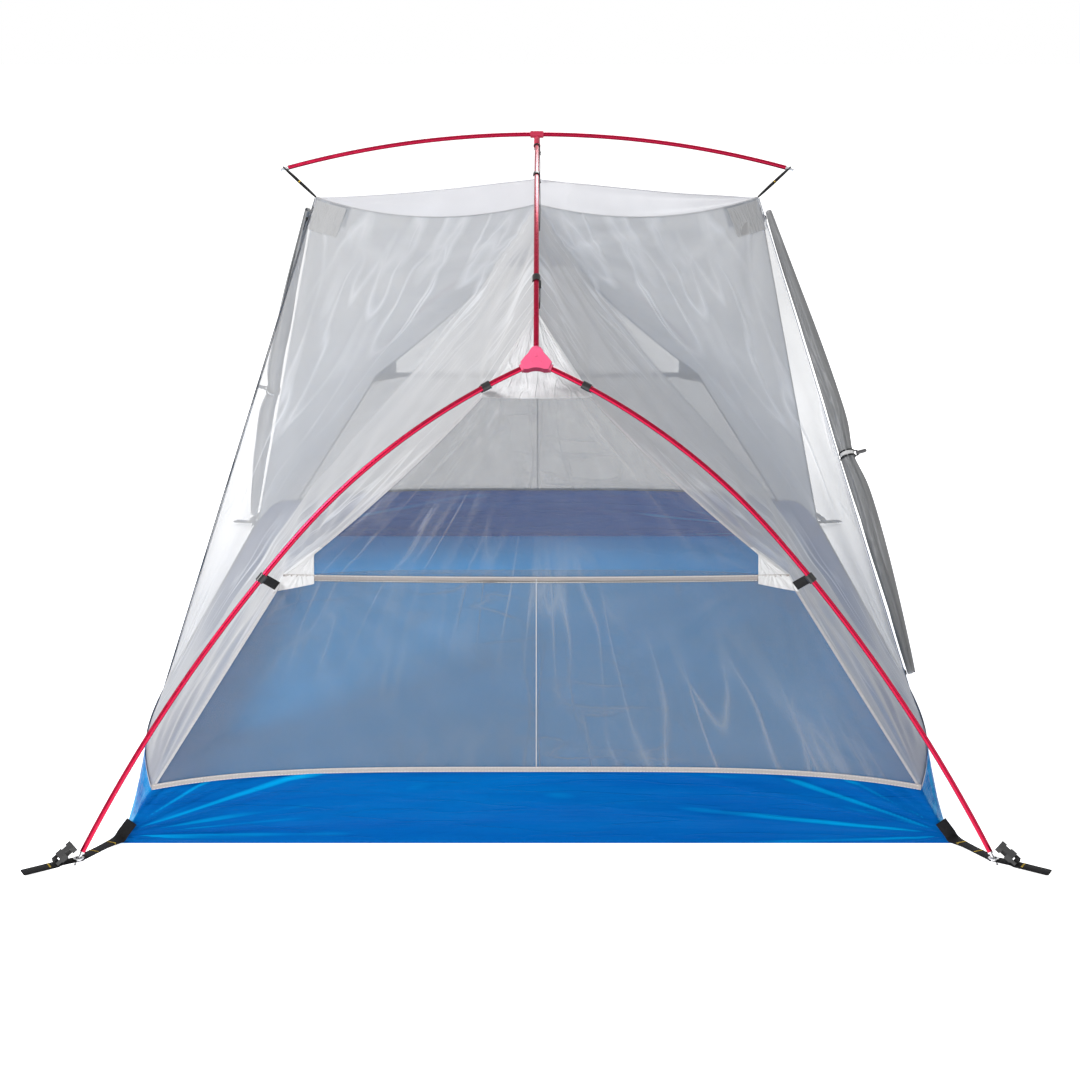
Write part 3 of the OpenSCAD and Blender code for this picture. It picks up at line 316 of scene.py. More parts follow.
def solid_cloth(
    name, colour, sheen=0.3, rough=0.45, thread=0.0009, wrinkle=0.4, through=0.15, painted_wrinkle_shift=0.12,
    crease=(9, 2, 1), turn=0.0, tint=(1, 1, 1), light=None, back=None, folds=None,
):
    """Woven cloth with a coated face. Its colour follows the wrinkles as painted light and shade, lighter on
    crests and darker in hollows; light is the painted crest colour. folds gives the painted shade of faces
    turned down and the painted light of faces turned up.
    """
    m = new_material(name)
    g = Graph(m)
    uv = g.node("ShaderNodeUVMap").outputs[0]
    big = g.noise(uv, crease, 4.0, 0.55, turn)
    fine = g.noise(uv, tuple(c * 5 for c in crease), 3.0, 0.6, turn + 0.35)
    line = creases(g, uv, tuple(c * 1.4 for c in crease), turn - 0.25, 0.03)
    threads = g.mul(weave(g, uv, thread, thread * 1.15), 0.02)
    height = g.add(threads, g.mul(fine, 0.14))
    height = g.add(height, g.add(big, g.mul(line, 0.1)))
    bump = g.node("ShaderNodeBump", Height=height, Strength=wrinkle, Distance=0.012).outputs[0]
    # Painted light and shade: the base colour follows the same wrinkle noise as the bump, lighter on crests
    # and darker in hollows.
    bright = light or [min(1, c * (1 + painted_wrinkle_shift)) for c in colour]
    shade = g.mix(g.ramp(big, [(0.3, 0.0), (0.7, 1.0)]), [c * (1 - painted_wrinkle_shift) for c in colour], bright)
    # Painted light and shade: faces turned up take the lighter fold colour, faces turned down the darker one.
    if folds is not None:
        geo = g.node("ShaderNodeNewGeometry")
        up = g.node("ShaderNodeSeparateXYZ", i0=geo.outputs["Normal"]).outputs[2]
        up = g.mul(up, g.mul_add(geo.outputs["Backfacing"], -2.0, 1.0))
        shade = g.mix(0.8, shade, g.mix(g.ramp(up, [(0.31, 0.0), (0.68, 1.0)]), *folds))
    if back is not None:
        shade = g.mix(g.node("ShaderNodeNewGeometry").outputs["Backfacing"], shade, back)
    grime = g.ramp(g.noise(uv, 2.3, 6.0, 0.65), [(0.35, 0.0), (0.75, 1.0)])
    shade = g.mix(g.mul(grime, 0.08), shade, [0.5 * c + 0.02 for c in colour])
    gloss = g.mul_add(fine, 0.2, rough - 0.1)
    p = g.node("ShaderNodeBsdfPrincipled", Base_Color=shade, Roughness=gloss, Normal=bump)
    p.inputs["Sheen Weight"].default_value = sheen
    p.inputs["Sheen Roughness"].default_value = 0.4
    p.inputs["IOR"].default_value = 1.5 if folds is None else 1.25
    p.inputs["Specular Tint"].default_value = (*tint, 1)
    p.inputs["Sheen Tint"].default_value = (*tint, 1)
    t = g.node("ShaderNodeBsdfTranslucent", Color=shade, Normal=bump).outputs[0]
    g.out(g.node("ShaderNodeMixShader", i0=through, i1=p.outputs[0], i2=t).outputs[0])
    return m


def band_cloth(name, colour, rib=0.0011, rough=0.75, sheen=0.5):
    """Webbing or tape: ribs along its length and a fine weave across them."""
    m = new_material(name)
    g = Graph(m)
    uv = g.node("ShaderNodeUVMap").outputs[0]
    w = weave(g, uv, rib * 2, rib * 1.3)
    n = g.noise(uv, 300.0, 3.0)
    height = g.add(w, g.mul(n, 0.5))
    bump = g.node("ShaderNodeBump", Height=height, Strength=0.7, Distance=0.0006).outputs[0]
    shade = g.mix(g.mul(w, 0.7), [c * 0.6 for c in colour], [c * 1.25 + 0.003 for c in colour])
    shade = g.mix(g.ramp(n, [(0.5, 0.0), (0.8, 0.35)]), shade, [c * 1.5 + 0.008 for c in colour])
    p = g.node("ShaderNodeBsdfPrincipled", Base_Color=shade, Roughness=rough, Normal=bump)
    p.inputs["Sheen Weight"].default_value = sheen
    p.inputs["Specular IOR Level"].default_value = 0.5 if max(colour) > 0.1 else 0.12
    g.out(p.outputs[0])
    return m


def hard(
    name, colour, rough=0.35, metal=0.0, coat=0.0, bevel=0.0004, grain=0.0,
    grain_scale=(900, 900, 900), under=None,
):
    """Plastic or metal with softened edges and faint wear; under is a painted shade colour for the faces
    turned down.
    """
    m = new_material(name)
    g = Graph(m)
    co = g.node("ShaderNodeTexCoord").outputs["Object"]
    wear = g.ramp(g.noise(co, 60.0, 6.0, 0.7), [(0.45, 0.0), (0.75, 1.0)])
    fine = g.noise(co, grain_scale, 2.0)
    edge = g.node("ShaderNodeBevel", {"samples": 4}, Radius=bevel).outputs[0]
    bump = g.node("ShaderNodeBump", Height=fine, Strength=grain, Distance=0.0003, Normal=edge).outputs[0]
    shade = g.mix(g.mul(wear, 0.25), colour, [min(1, c * 1.25 + 0.02) for c in colour])
    # Painted shade: faces turned down take the darker under colour.
    if under is not None:
        up = g.node("ShaderNodeSeparateXYZ", i0=g.node("ShaderNodeNewGeometry").outputs["Normal"]).outputs[2]
        shade = g.mix(g.ramp(g.mul_add(up, 0.5, 0.5), [(0.30, 0.0), (0.5, 1.0)]), under, shade)
    p = g.node(
        "ShaderNodeBsdfPrincipled", Base_Color=shade, Metallic=metal, Normal=bump,
        Roughness=g.mul_add(wear, 0.15, rough),
    )
    p.inputs["Coat Weight"].default_value = coat
    p.inputs["Coat Roughness"].default_value = 0.12
    g.out(p.outputs[0])
    return m


MESH = mesh_cloth("mesh_net", (0.62, 0.61, 0.60), 0.58, 1.3)
END_NET = mesh_cloth("end_net", (0.40, 0.395, 0.385), 0.36, 1.1)
POCKET_NET = mesh_cloth(
    "pocket_net", (0.36, 0.36, 0.365), 0.34, 0.5, crease=((4, 14, 1), (15, 1.8, 1)), turns=(0.25, 0.03)
)
ROLL_NET = mesh_cloth(
    "rolled_net", (0.34, 0.345, 0.35), 2.4, 2.4, crease=((30, 2.5, 1), (60, 5, 1)), turns=(0.05, -0.1)
)
# The tub's light and folds colours are painted light on crests and up-turned faces and painted shade on
# down-turned faces.
TUB_CLOTH = solid_cloth(
    "tub_taffeta", (0.0, 0.15, 0.46), sheen=0.02, rough=0.32, thread=0.0008, wrinkle=0.8, through=0.10,
    painted_wrinkle_shift=0.25, crease=(2.4, 26, 1), tint=(0.0, 0.58, 0.92), light=(0.0, 0.30, 0.66),
    folds=((0.0, 0.075, 0.36), (0.0, 0.42, 0.82)),
)
FLOOR_CLOTH = solid_cloth(
    "floor_taffeta", (0.0, 0.32, 0.72), sheen=0.1, rough=0.42, thread=0.0008, wrinkle=0.6, through=0.1,
    painted_wrinkle_shift=0.1, crease=(3, 2, 1), turn=0.4, tint=(0.0, 0.55, 1.0),
)
ROOF_CLOTH = solid_cloth(
    "roof_cloth", (0.68, 0.68, 0.70), sheen=0.15, rough=0.5, thread=0.0009, wrinkle=0.3, through=0.2,
    painted_wrinkle_shift=0.05, crease=(5, 2, 1), turn=0.2,
)
PATCH_CLOTH = solid_cloth(
    "patch_cloth", (0.72, 0.73, 0.74), sheen=0.05, rough=0.4, thread=0.0007, wrinkle=0.9, through=0.1,
    painted_wrinkle_shift=0.05, crease=(40, 8, 1), back=(0.42, 0.42, 0.43),
)
CORNER_CLOTH = solid_cloth(
    "corner_cloth", (0.47, 0.47, 0.47), sheen=0.2, rough=0.5, thread=0.0007, wrinkle=0.5, through=0.3,
    painted_wrinkle_shift=0.05, crease=(40, 8, 1),
)
TAPE_CLOTH = band_cloth("pocket_tape", (0.36, 0.33, 0.32), 0.0009, 0.7, 0.2)
EDGE_TAPE = band_cloth("edge_binding", (0.46, 0.43, 0.42), 0.0009, 0.7, 0.2)
SEAM_TAPE = band_cloth("seam_tape", (0.50, 0.50, 0.52), 0.0009, 0.7, 0.2)
WEBBING = band_cloth("black_webbing", (0.010, 0.010, 0.011), 0.0013, 0.7, 0.03)
BARTACK = band_cloth("bartack_thread", (0.90, 0.60, 0.03), 0.0006, 0.6, 0.2)
ZIP_CLOTH = band_cloth("zip_tape", (0.05, 0.05, 0.052), 0.001, 0.7, 0.3)
POLE = hard("anodised_pole", (0.50, 0.004, 0.045), 0.24, 0.9, 0.2, 0.0002, 0.15, (30, 30, 1200))
# The hub's under colour is painted shade on its downward faces.
HUB = hard("hub_plastic", (0.74, 0.085, 0.20), 0.35, 0.0, 0.2, 0.0018, 0.05, under=(0.22, 0.003, 0.03))
SADDLE = hard("saddle_plastic", (0.42, 0.008, 0.045), 0.32, 0.0, 0.3, 0.001, 0.05)
BLACK = hard("black_plastic", (0.010, 0.010, 0.011), 0.32, 0.0, 0.15, 0.0006, 0.12)
SILVER = hard("turned_metal", (0.72, 0.72, 0.74), 0.2, 1.0, 0.0, 0.0003, 0.1)
SMOKED = hard("smoked_plastic", (0.07, 0.07, 0.075), 0.25, 0.0, 0.3, 0.0006, 0.05)
CORD = band_cloth("tie_cord", (0.012, 0.012, 0.013), 0.0007, 0.6, 0.03)
ELASTIC = band_cloth("shock_cord", (0.6, 0.6, 0.6), 0.0007, 0.6, 0.3)
STITCH = hard("stitch_thread", (0.66, 0.65, 0.64), 0.7)
BAND = band_cloth("tie_band", (0.80, 0.80, 0.80), 0.0008, 0.7, 0.3)


# ---------------------------------------------------------------- mesh building
def link(obj, material=None):
    bpy.context.scene.collection.objects.link(obj)
    if material is not None:
        obj.data.materials.clear()
        obj.data.materials.append(material)
    return obj


def normals(p):
    du = np.gradient(p, axis=0)
    dv = np.gradient(p, axis=1)
    return unit(np.cross(du, dv))


def smooth(mesh, angle=None):
    mesh.polygons.foreach_set("use_smooth", [True] * len(mesh.polygons))
    if angle is not None:
        mesh.set_sharp_from_angle(angle=math.radians(angle))
    mesh.update()


def grid_object(name, p, material, ring=False):
    """A sheet through a grid of points in mm, unwrapped to scale; ring joins the last row to the first."""
    p = np.asarray(p, float)
    n, m = p.shape[:2]
    idx = np.arange(n * m).reshape(n, m)
    rows = idx if not ring else np.vstack([idx, idx[:1]])
    a, b, c, d = rows[:-1, :-1], rows[1:, :-1], rows[1:, 1:], rows[:-1, 1:]
    quads = np.stack([a, b, c, d], -1).reshape(-1, 4)
    step_u = np.linalg.norm(np.diff(p, axis=0), axis=-1).mean(1)
    step_v = np.linalg.norm(np.diff(p, axis=1), axis=-1).mean(0)
    uu = np.concatenate([[0], np.cumsum(step_u)]) * MM
    vv = np.concatenate([[0], np.cumsum(step_v)]) * MM
    uv = np.stack(np.meshgrid(uu, vv, indexing="ij"), -1)
    if ring:
        close = np.linalg.norm(p[0] - p[-1], axis=-1).mean() * MM
        uv = np.vstack([uv, uv[-1:] + np.array([close, 0.0])])
    mesh = bpy.data.meshes.new(name)
    mesh.from_pydata((p.reshape(-1, 3) * MM).tolist(), [], quads.tolist())
    layer = mesh.uv_layers.new(name="cloth")
    corner = np.stack([uv[:-1, :-1], uv[1:, :-1], uv[1:, 1:], uv[:-1, 1:]], 2).reshape(-1, 2)
    layer.data.foreach_set("uv", corner.astype(np.float32).ravel())
    smooth(mesh)
    return link(bpy.data.objects.new(name, mesh), material)


def outward(obj, middle=(0, 0, 0.3)):
    """Turn a sheet's faces to look away from the middle of the tent."""
    me = obj.data
    n, c, a = (np.empty(len(me.polygons) * k) for k in (3, 3, 1))
    me.polygons.foreach_get("normal", n)
    me.polygons.foreach_get("center", c)
    me.polygons.foreach_get("area", a)
    if (np.einsum("ij,ij->i", n.reshape(-1, 3), c.reshape(-1, 3) - np.array(middle)) * a).sum() < 0:
        me.flip_normals()
    return obj


def surface_area(p):
    a = np.cross(p[1:, :-1] - p[:-1, :-1], p[1:, 1:] - p[:-1, :-1])
    b = np.cross(p[1:, 1:] - p[:-1, :-1], p[:-1, 1:] - p[:-1, :-1])
    return 0.5 * (np.linalg.norm(a, axis=-1).sum() + np.linalg.norm(b, axis=-1).sum()) * MM * MM


def ribbon(name, path, side, width, material):
    """A flat band along a path in mm; side is the direction across it."""
    side = unit(np.broadcast_to(side, path.shape))
    k = np.linspace(-0.5, 0.5, 5)[None, :, None]
    return grid_object(name, path[:, None, :] + side[:, None, :] * (k * width), material)


def tube(name, path, radius, material, sides=10, closed=False, caps=True):
    """A round tube along a path in mm."""
    path = np.asarray(path, float)
    n = len(path)
    t = unit(np.roll(path, -1, 0) - np.roll(path, 1, 0)) if closed else unit(np.gradient(path, axis=0))
    ref = np.array([0.0, 0.0, 1.0]) if abs(t[0][2]) < 0.9 else np.array([1.0, 0.0, 0.0])
    a = unit(np.cross(t[0], ref))
    across = np.empty((n, 3))
    for i in range(n):
        a = unit(a - np.dot(a, t[i]) * t[i])
        across[i] = a
    other = np.cross(t, across)
    turn = np.linspace(0, 2 * np.pi, sides, endpoint=False)
    p = np.array([path + radius * (math.cos(w) * across + math.sin(w) * other) for w in turn])
    obj = grid_object(name, p, material, ring=True)
    if caps and not closed:
        bm = bmesh.new()
        bm.from_mesh(obj.data)
        bmesh.ops.holes_fill(bm, edges=bm.edges, sides=sides + 1)
        bm.to_mesh(obj.data)
        bm.free()
        smooth(obj.data, 50)
    return obj


def joined(name, objects):
    """Several mesh objects as one, keeping their materials."""
    first = objects[0]
    with bpy.context.temp_override(
        active_object=first, object=first, selected_objects=objects, selected_editable_objects=objects
    ):
        bpy.ops.object.join()
    first.name = name
    first.data.name = name
    return first


def mirrored(p, sx, sy):
    return p * np.array([sx, sy, 1.0])


def fan(p, at, slope, folds, decay, phase, normal=(0, 1, 0)):
    """Height of folds that fan out from a point of pull, steepest near it."""
    rel = p - np.asarray(at)
    r = np.linalg.norm(rel, axis=-1)
    n = unit(normal)
    a = unit(np.cross(n, (0.3, 0.2, 1.0)))
    b = np.cross(n, a)
    theta = np.arctan2(rel @ b, rel @ a)
    wave = np.cos(folds * theta + phase) + 0.45 * np.cos(0.63 * folds * theta + 2.1 * phase)
    wave = wave + 0.25 * np.cos(1.7 * folds * theta - phase)
    return slope / folds * r * np.exp(-r / decay) * wave


def ripple(s, t, amp, waves, seed):
    """Soft uneven waves over a sheet in two directions, amplitude in mm."""
    r = np.random.default_rng(seed)
    out = 0.0
    for k in range(7):
        fs, ft = waves[0] * (0.5 + r.random()), waves[1] * (0.4 + r.random())
        turns = fs * s + ft * t * (1 if k % 2 else -1)
        out = out + np.sin(2 * np.pi * turns + r.random() * 6.28) / (1 + 0.5 * k)
    return amp * out / 2.2


# ---------------------------------------------------------------- cloth
def grid_lines(knots, count):
    """Values from 0 to 1 that include the knots."""
    out = []
    ends = [0.0, *knots, 1.0]
    for a, b in zip(ends[:-1], ends[1:]):
        k = max(2, round(count * (b - a)))
        out += list(np.linspace(a, b, k, endpoint=False))
    return np.array(out + [1.0])


def edge_fade(u, v, w=0.05):
    """1 inside a sheet, falling to 0 at its four sewn edges."""
    across = held(u / w) * held((1 - u) / w)
    return across * held(v / w) * held((1 - v) / w)


def side_wall(name, sx, sy, seed):
    u = grid_lines([U_RIDGE], 110)
    v = grid_lines([V_PATCH], 110)
    uu, vv = np.meshgrid(u, v, indexing="ij")
    p = wall_point(uu, vv)
    n = -normals(p)
    d = ripple(uu, vv, 1.5, (5.0, 2.0), seed)
    d = d + fan(p, edge_point(CLIP_Z), 0.40, 17, 160, seed, (0.5, 0.7, 0.3))
    d = d + fan(p, PATCH_LOW, 0.30, 19, 160, seed + 1, (0.5, 0.6, 0.4))
    d = d + fan(p, ROOF_CORNER, 0.45, 23, 260, seed + 2, (0.9, 0.3, 0.3))
    d = d + fan(p, (0, CLIP_B_Y, CLIP_B_Z), 0.40, 21, 220, seed + 3, (0.6, 0.2, 0.8))
    d = d + fan(p, (CORNER_X, end_y(TUB_CORNER), TUB_CORNER), 0.30, 19, 200, seed + 4, (0.9, 0.4, 0.1))
    p = p + n * (d * edge_fade(uu, vv))[..., None]
    o = outward(grid_object(name, mirrored(p, sx, sy), MESH))
    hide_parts(name)
    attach(o, TENT)


def end_grid(top, cols, rows):
    """Grid over the end wall up to a share of its height, with each point's shares."""
    ff, tt = np.meshgrid(np.linspace(-1, 1, cols), np.linspace(0.0, top, rows), indexing="ij")
    z = lerp(tub_end_top(ff), END_TOP - 3 * (1 - ff * ff), tt)
    return pts(ff * edge_x(lerp(TUB_CORNER, END_TOP, tt)), end_y(z), z), ff, tt


TOP_SHARE = (POCKET_Z - TUB_CORNER) / (END_TOP - TUB_CORNER)


def end_wall(name, sy, seed):
    p, ff, tt = end_grid(1.0, 150, 120)
    area = surface_area(p)
    n = np.array([0, 1.0, 0.15])
    d = ripple(ff, tt, 1.6, (4.0, 1.2), seed)
    for s in (-1, 1):
        d = d + fan(p, edge_point(CLIP_Z) * np.array([s, 1, 1]), 0.40, 21, 160, seed + s)
        d = d + fan(p, PATCH_LOW * np.array([s, 1, 1]), 0.30, 17, 160, seed + 2 * s)
        d = d + fan(p, edge_point(TUB_CORNER) * np.array([s, 1, 1]), 0.30, 19, 160, seed + 3 * s)
    # The cloth lies flat at its edges, under the pocket's tape and along the seam below it
    fade = held((1 - np.abs(ff)) / 0.06) * held(tt / 0.06) * held((1 - tt) / 0.05)
    at_tape = np.exp(-(((p[..., 2] - POCKET_Z) / 22) ** 2))
    at_seam = np.where(p[..., 2] < POCKET_Z, np.exp(-((p[..., 0] / 14) ** 2)), 0)
    fade = fade * (1 - at_tape) * (1 - at_seam)
    p = p + n * (d * fade)[..., None]
    o = outward(grid_object(name, mirrored(p, 1, sy), END_NET))
    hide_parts(name)
    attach(o, TENT)


def pocket(name, sy, seed):
    p, ff, tt = end_grid(TOP_SHARE, 130, 60)
    area = surface_area(p)
    belly = -5.0 - 7.0 * (1 - np.abs(ff) ** 3) * sag(held(tt / TOP_SHARE))
    d = belly + ripple(ff, tt, 2.0, (5.0, 1.0), seed)
    fade = held((1 - np.abs(ff)) / 0.05) * held(tt / 0.03)
    fade = fade * held((TOP_SHARE - tt) / 0.05 + 0.15)
    fade = np.where(np.abs(ff) < 0.012, 0.15, fade)
    p = p + np.array([0, 1.0, 0.1]) * (d * fade)[..., None]
    o = outward(grid_object(name, mirrored(p, 1, sy), POCKET_NET))
    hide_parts(name)
    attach(o, TENT)


for k, (name, (sx, sy)) in enumerate(QUARTERS.items()):
    side_wall(f"{name}_wall", sx, sy, 11 + k)
for k, (name, sy) in enumerate((("near", -1), ("far", 1))):
    end_wall(f"{name}_end_wall", sy, 31 + k)
    pocket(f"{name}_pocket", sy, 41 + k)


def tub_outline(r, count_side=220, count_end=240):
    """Points round the bathtub's wall at share r of its height, from the near right corner."""
    f = np.linspace(-1, 1, count_side, endpoint=False)
    right_low = pts(FLOOR_W / 2, f * FLOOR_L / 2, 0)
    right_top = tub_side_top(f * end_y(TUB_CORNER))
    e = np.linspace(1, -1, count_end, endpoint=False)
    far_low = pts(e * FLOOR_W / 2, FLOOR_L / 2, 0)
    far_top = pts(e * CORNER_X, end_y(tub_end_top(e)), tub_end_top(e))
    low = np.concatenate([right_low, far_low, -right_low * [1, 1, -1], -far_low * [1, 1, -1]])
    top = np.concatenate([right_top, far_top, right_top * [-1, -1, 1], far_top * [-1, -1, 1]])
    return lerp(low, top, r)


TAB_Z = 14  # where the corner webbing pulls


def bathtub():
    rows = 56
    p = np.stack([tub_outline(r) for r in np.linspace(0, 1, rows)], 1)
    n = unit(np.cross(np.roll(p, -1, 0) - np.roll(p, 1, 0), np.gradient(p, axis=1)))
    s = np.arange(len(p))[:, None] / len(p) * np.ones((1, rows))
    t = np.linspace(0, 1, rows)[None, :] * np.ones((len(p), 1))
    d = ripple(s, t, 1.6, (30.0, 1.0), 5) * sag(t)
    hold = held(sag(t) * 3)
    end_face = hold * (np.abs(n[..., 1]) > 0.7)
    side_face = hold * (np.abs(n[..., 0]) > 0.7)
    for sx in (-1, 1):
        for sy in (-1, 1):
            at = (sx * FLOOR_W / 2, sy * FLOOR_L / 2, TAB_Z)
            broad = fan(p, at, 0.75, 31, 280, sx + 2 * sy, (0, sy, 0))
            narrow = fan(p, at, 0.60, 79, 330, sx - sy, (0, sy, 0))
            d = d + (broad + narrow) * end_face
            d = d + fan(p, at, 0.70, 23, 200, 2 * sx + sy, (sx, 0, 0)) * side_face
    p = p + n * d[..., None]
    walls = grid_object("bathtub_walls", p, TUB_CLOTH, ring=True)
    x = np.linspace(-FLOOR_W / 2, FLOOR_W / 2, 60)
    y = np.linspace(-FLOOR_L / 2, FLOOR_L / 2, 90)
    xx, yy = np.meshgrid(x, y, indexing="ij")
    edge = held((FLOOR_W / 2 - np.abs(xx)) / 60) * held((FLOOR_L / 2 - np.abs(yy)) / 60)
    zz = (1.2 + np.abs(ripple(xx / FLOOR_W, yy / FLOOR_L, 2.0, (3, 4), 9))) * edge + 0.2
    ground = grid_object("bathtub_ground", pts(xx, yy, zz), FLOOR_CLOTH)
    outward(walls)
    o = joined("floor_tub", [walls, ground])
    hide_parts("floor")
    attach(o, TENT)


bathtub()


def roof():
    a = np.concatenate([np.linspace(-1, 0, 60, endpoint=False), np.linspace(0, 1, 61)])
    b = np.concatenate([np.linspace(1, 0, 24, endpoint=False), np.linspace(0, -1, 25)])
    aa, bb = np.meshgrid(a, b, indexing="ij")
    w = np.abs(aa)
    low = seam_point(w)
    y = bb * low[..., 1]
    z = lerp(crest_z(w), low[..., 2], np.abs(bb))
    p = pts(ROOF_HALF * aa, y, z)
    d = ripple(aa, bb, 0.9, (2.0, 1.0), 3)
    for s in (-1, 1):
        d = d + fan(p, (s * ROOF_HALF, 0, ROOF_CORNER_Z), 0.3, 19, 140, s, (0, 0, 1))
    d = d * held((1 - np.abs(bb)) / 0.15) * held((1 - w) / 0.1)
    p = p + np.array([0, 0, 1.0]) * d[..., None]
    o = outward(grid_object("roof_panel", p, ROOF_CLOTH))
    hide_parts("roof_panel")
    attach(o, TENT)


roof()


def hub_patch(sy, seed):
    f = np.linspace(-1, 1, 61)
    t = np.linspace(0.0, 1.0, 50)
    ff, tt = np.meshgrid(f, t, indexing="ij")
    low = pts(ff * END_TOP_HALF, PATCH_LOW[1], END_TOP - 3 * (1 - ff * ff))
    p = lerp(low, PATCH_TIP, tt[..., None]) + pts(0, 0, 6 * (1 - np.abs(ff)) * sag(tt))
    area = surface_area(p)
    n = unit(np.array([0, 0.78, 0.62]))
    d = sum(fan(p, (k * END_TOP_HALF, PATCH_LOW[1], END_TOP), 0.5, 23, 70, seed + k, n) for k in (-1, 1))
    d = d + fan(p, PATCH_TIP, 0.4, 27, 90, seed, n)
    fade = held((1 - np.abs(ff)) / 0.1) * held((1 - tt) / 0.1)
    p = p + n * (d * fade + 1.2)[..., None]
    return outward(grid_object(f"hub_patch_{seed}", mirrored(p, 1, sy), PATCH_CLOTH)), area


patches, patch_area = zip(*[hub_patch(sy, k) for k, sy in enumerate((-1, 1))])
o = joined("hub_patches", patches)
round(sum(patch_area), 4)
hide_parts("hub_patches")
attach(o, TENT)

LEG_PATCH_IN, LEG_PATCH_LOW, LEG_PATCH_HIGH = 354.0, 409.0, 478.0
LEG_PATCH_WRAP, WALL_WIDTH = 15.0, 1050


def leg_patch():
    """White cloth folded round the end wall's edge, as a grid from the end wall to the side wall."""
    s = np.linspace(-1, 1, 60)
    t = np.linspace(0, 1, 44)
    ss, tt = np.meshgrid(s, t, indexing="ij")
    z = lerp(LEG_PATCH_LOW - 12 * ss * (ss < 0), LEG_PATCH_HIGH, tt)
    inner_x = lerp(np.minimum(LEG_PATCH_IN, edge_x(z) - 4), edge_x(z), 1 + ss)
    inner = pts(inner_x, end_y(z) + 1.6, z)
    v = V_PATCH * (z - TUB_CORNER) / (END_TOP - TUB_CORNER)
    wrap = LEG_PATCH_WRAP / WALL_WIDTH * ss * (1 - 0.85 * np.abs(2 * tt - 1) ** 2)
    outer = wall_point(held(wrap), v) + np.array([1.2, 1.6, 0.3])
    p = np.where(ss[..., None] < 0, inner, outer)
    d = fan(p, edge_point(CLIP_Z) + np.array([-6, 1.6, 0]), 0.75, 25, 60, 1.0, (0.2, 1.0, 0.1))
    return p + unit(np.array([0.3, 0.9, 0.2])) * (d + 0.6)[..., None]


def roof_corner_patch():
    """Cloth over the side wall's corner under the crossbar's strap."""
    share = np.linspace(0.93, 0.995, 20)
    p = wall_point(*np.meshgrid(share, share, indexing="ij"))
    return p - normals(p) * 1.5


small = []
small_area = 0.0
for name, (sx, sy) in QUARTERS.items():
    for kind, shape in (("leg", leg_patch()), ("roof", roof_corner_patch())):
        small_area += surface_area(shape)
        cloth = PATCH_CLOTH if kind == "leg" else CORNER_CLOTH
        small.append(outward(grid_object(f"{name}_{kind}", mirrored(shape, sx, sy), cloth)))
o = joined("corner_patches", small)
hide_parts("corner_patches")
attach(o, TENT)

# ---------------------------------------------------------------- doors
DOOR_FOOT = np.array([SILL_END[0], 0, SILL_END[2]])
DOOR_RISE = float(np.linalg.norm(ROOF_CORNER - DOOR_FOOT))
DOOR_TILT = math.atan((SILL_END[0] - ROOF_HALF) / (ROOF_CORNER_Z - SILL_END[2]))
EDGE_L = math.hypot(DOOR_HALF, DOOR_RISE)
EDGE_A = math.atan2(DOOR_RISE, DOOR_HALF)
TAPE_W, TIE_T, ROLL_R = 12.0, 0.4455, 17.0


def doorway(x, y, z):
    """A point by its place along the sill, up the doorway's plane and out of it."""
    c, s = math.cos(DOOR_TILT), math.sin(DOOR_TILT)
    x, y, z = np.broadcast_arrays(np.asarray(x, float), np.asarray(y, float), np.asarray(z, float))
    return DOOR_FOOT + np.stack([z * c - y * s, x, z * s + y * c], -1)


def zip_edge(x, y, z):
    """The same for the edge that the zip runs down, x from the roof's corner."""
    c, s = math.cos(EDGE_A), math.sin(EDGE_A)
    x, y = np.asarray(x, float), np.asarray(y, float)
    return doorway(x * c - y * s, DOOR_RISE - x * s - y * c, z)


def hinge_edge(x, y, z):
    """The same for the edge that the rolled door hangs on, x from the sill."""
    c, s = math.cos(EDGE_A), math.sin(EDGE_A)
    x, y = np.asarray(x, float), np.asarray(y, float)
    return doorway(-DOOR_HALF + x * c - y * s, x * s + y * c, z)


def on_side(p, sx):
    return p if sx > 0 else p * np.array([-1, -1, 1.0])


def roll_radius(t):
    """Radius of the rolled door at share t of its length, drawn in under the tie."""
    full = 5 + (ROLL_R - 5) * np.sin(np.pi * t**0.8)
    return full * (1 - 0.28 * np.exp(-(((t - TIE_T) / 0.045) ** 2)))


def door_roll(name, sx, seed):
    t = np.linspace(0.03, 0.965, 150)
    k = np.linspace(0, 2 * np.pi, 56, endpoint=False)
    kk, tt = np.meshgrid(k, t, indexing="ij")
    r = roll_radius(tt)
    folds = 0.10 * np.sin(3 * kk + 5 * tt + seed) + 0.07 * np.sin(5 * kk - 9 * tt)
    folds = folds + 0.05 * np.sin(8 * kk + 23 * tt + seed)
    folds = folds + 0.05 * np.sin(31 * tt + 2 * kk) * np.sin(2 * kk + seed)
    rr = r * (1 + folds - 0.1)
    p = hinge_edge(EDGE_L * tt, rr * np.cos(kk), roll_radius(tt) + 5 + rr * np.sin(kk))
    body = grid_object(f"{name}_body", on_side(p, sx), ROLL_NET, ring=True)
    # The free edge of the rolled cloth shows as a long flap
    s = np.linspace(0, 1, 14)
    ss, tt = np.meshgrid(s, t, indexing="ij")
    a = 0.4 + 1.9 * ss
    rr = roll_radius(tt) * (1.02 + 0.12 * ss * (1 + 0.5 * np.sin(17 * tt + seed)))
    p = hinge_edge(EDGE_L * tt, rr * np.cos(a), roll_radius(tt) + 5 + rr * np.sin(a))
    flap = grid_object(f"{name}_flap", on_side(p, sx), ROLL_NET)
    o = joined(name, [body, flap])
    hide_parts(name)
    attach(o, TENT)


for name, sx in (("left", -1), ("right", 1)):
    door_roll(f"{name}_door_roll", sx, 2 + sx)

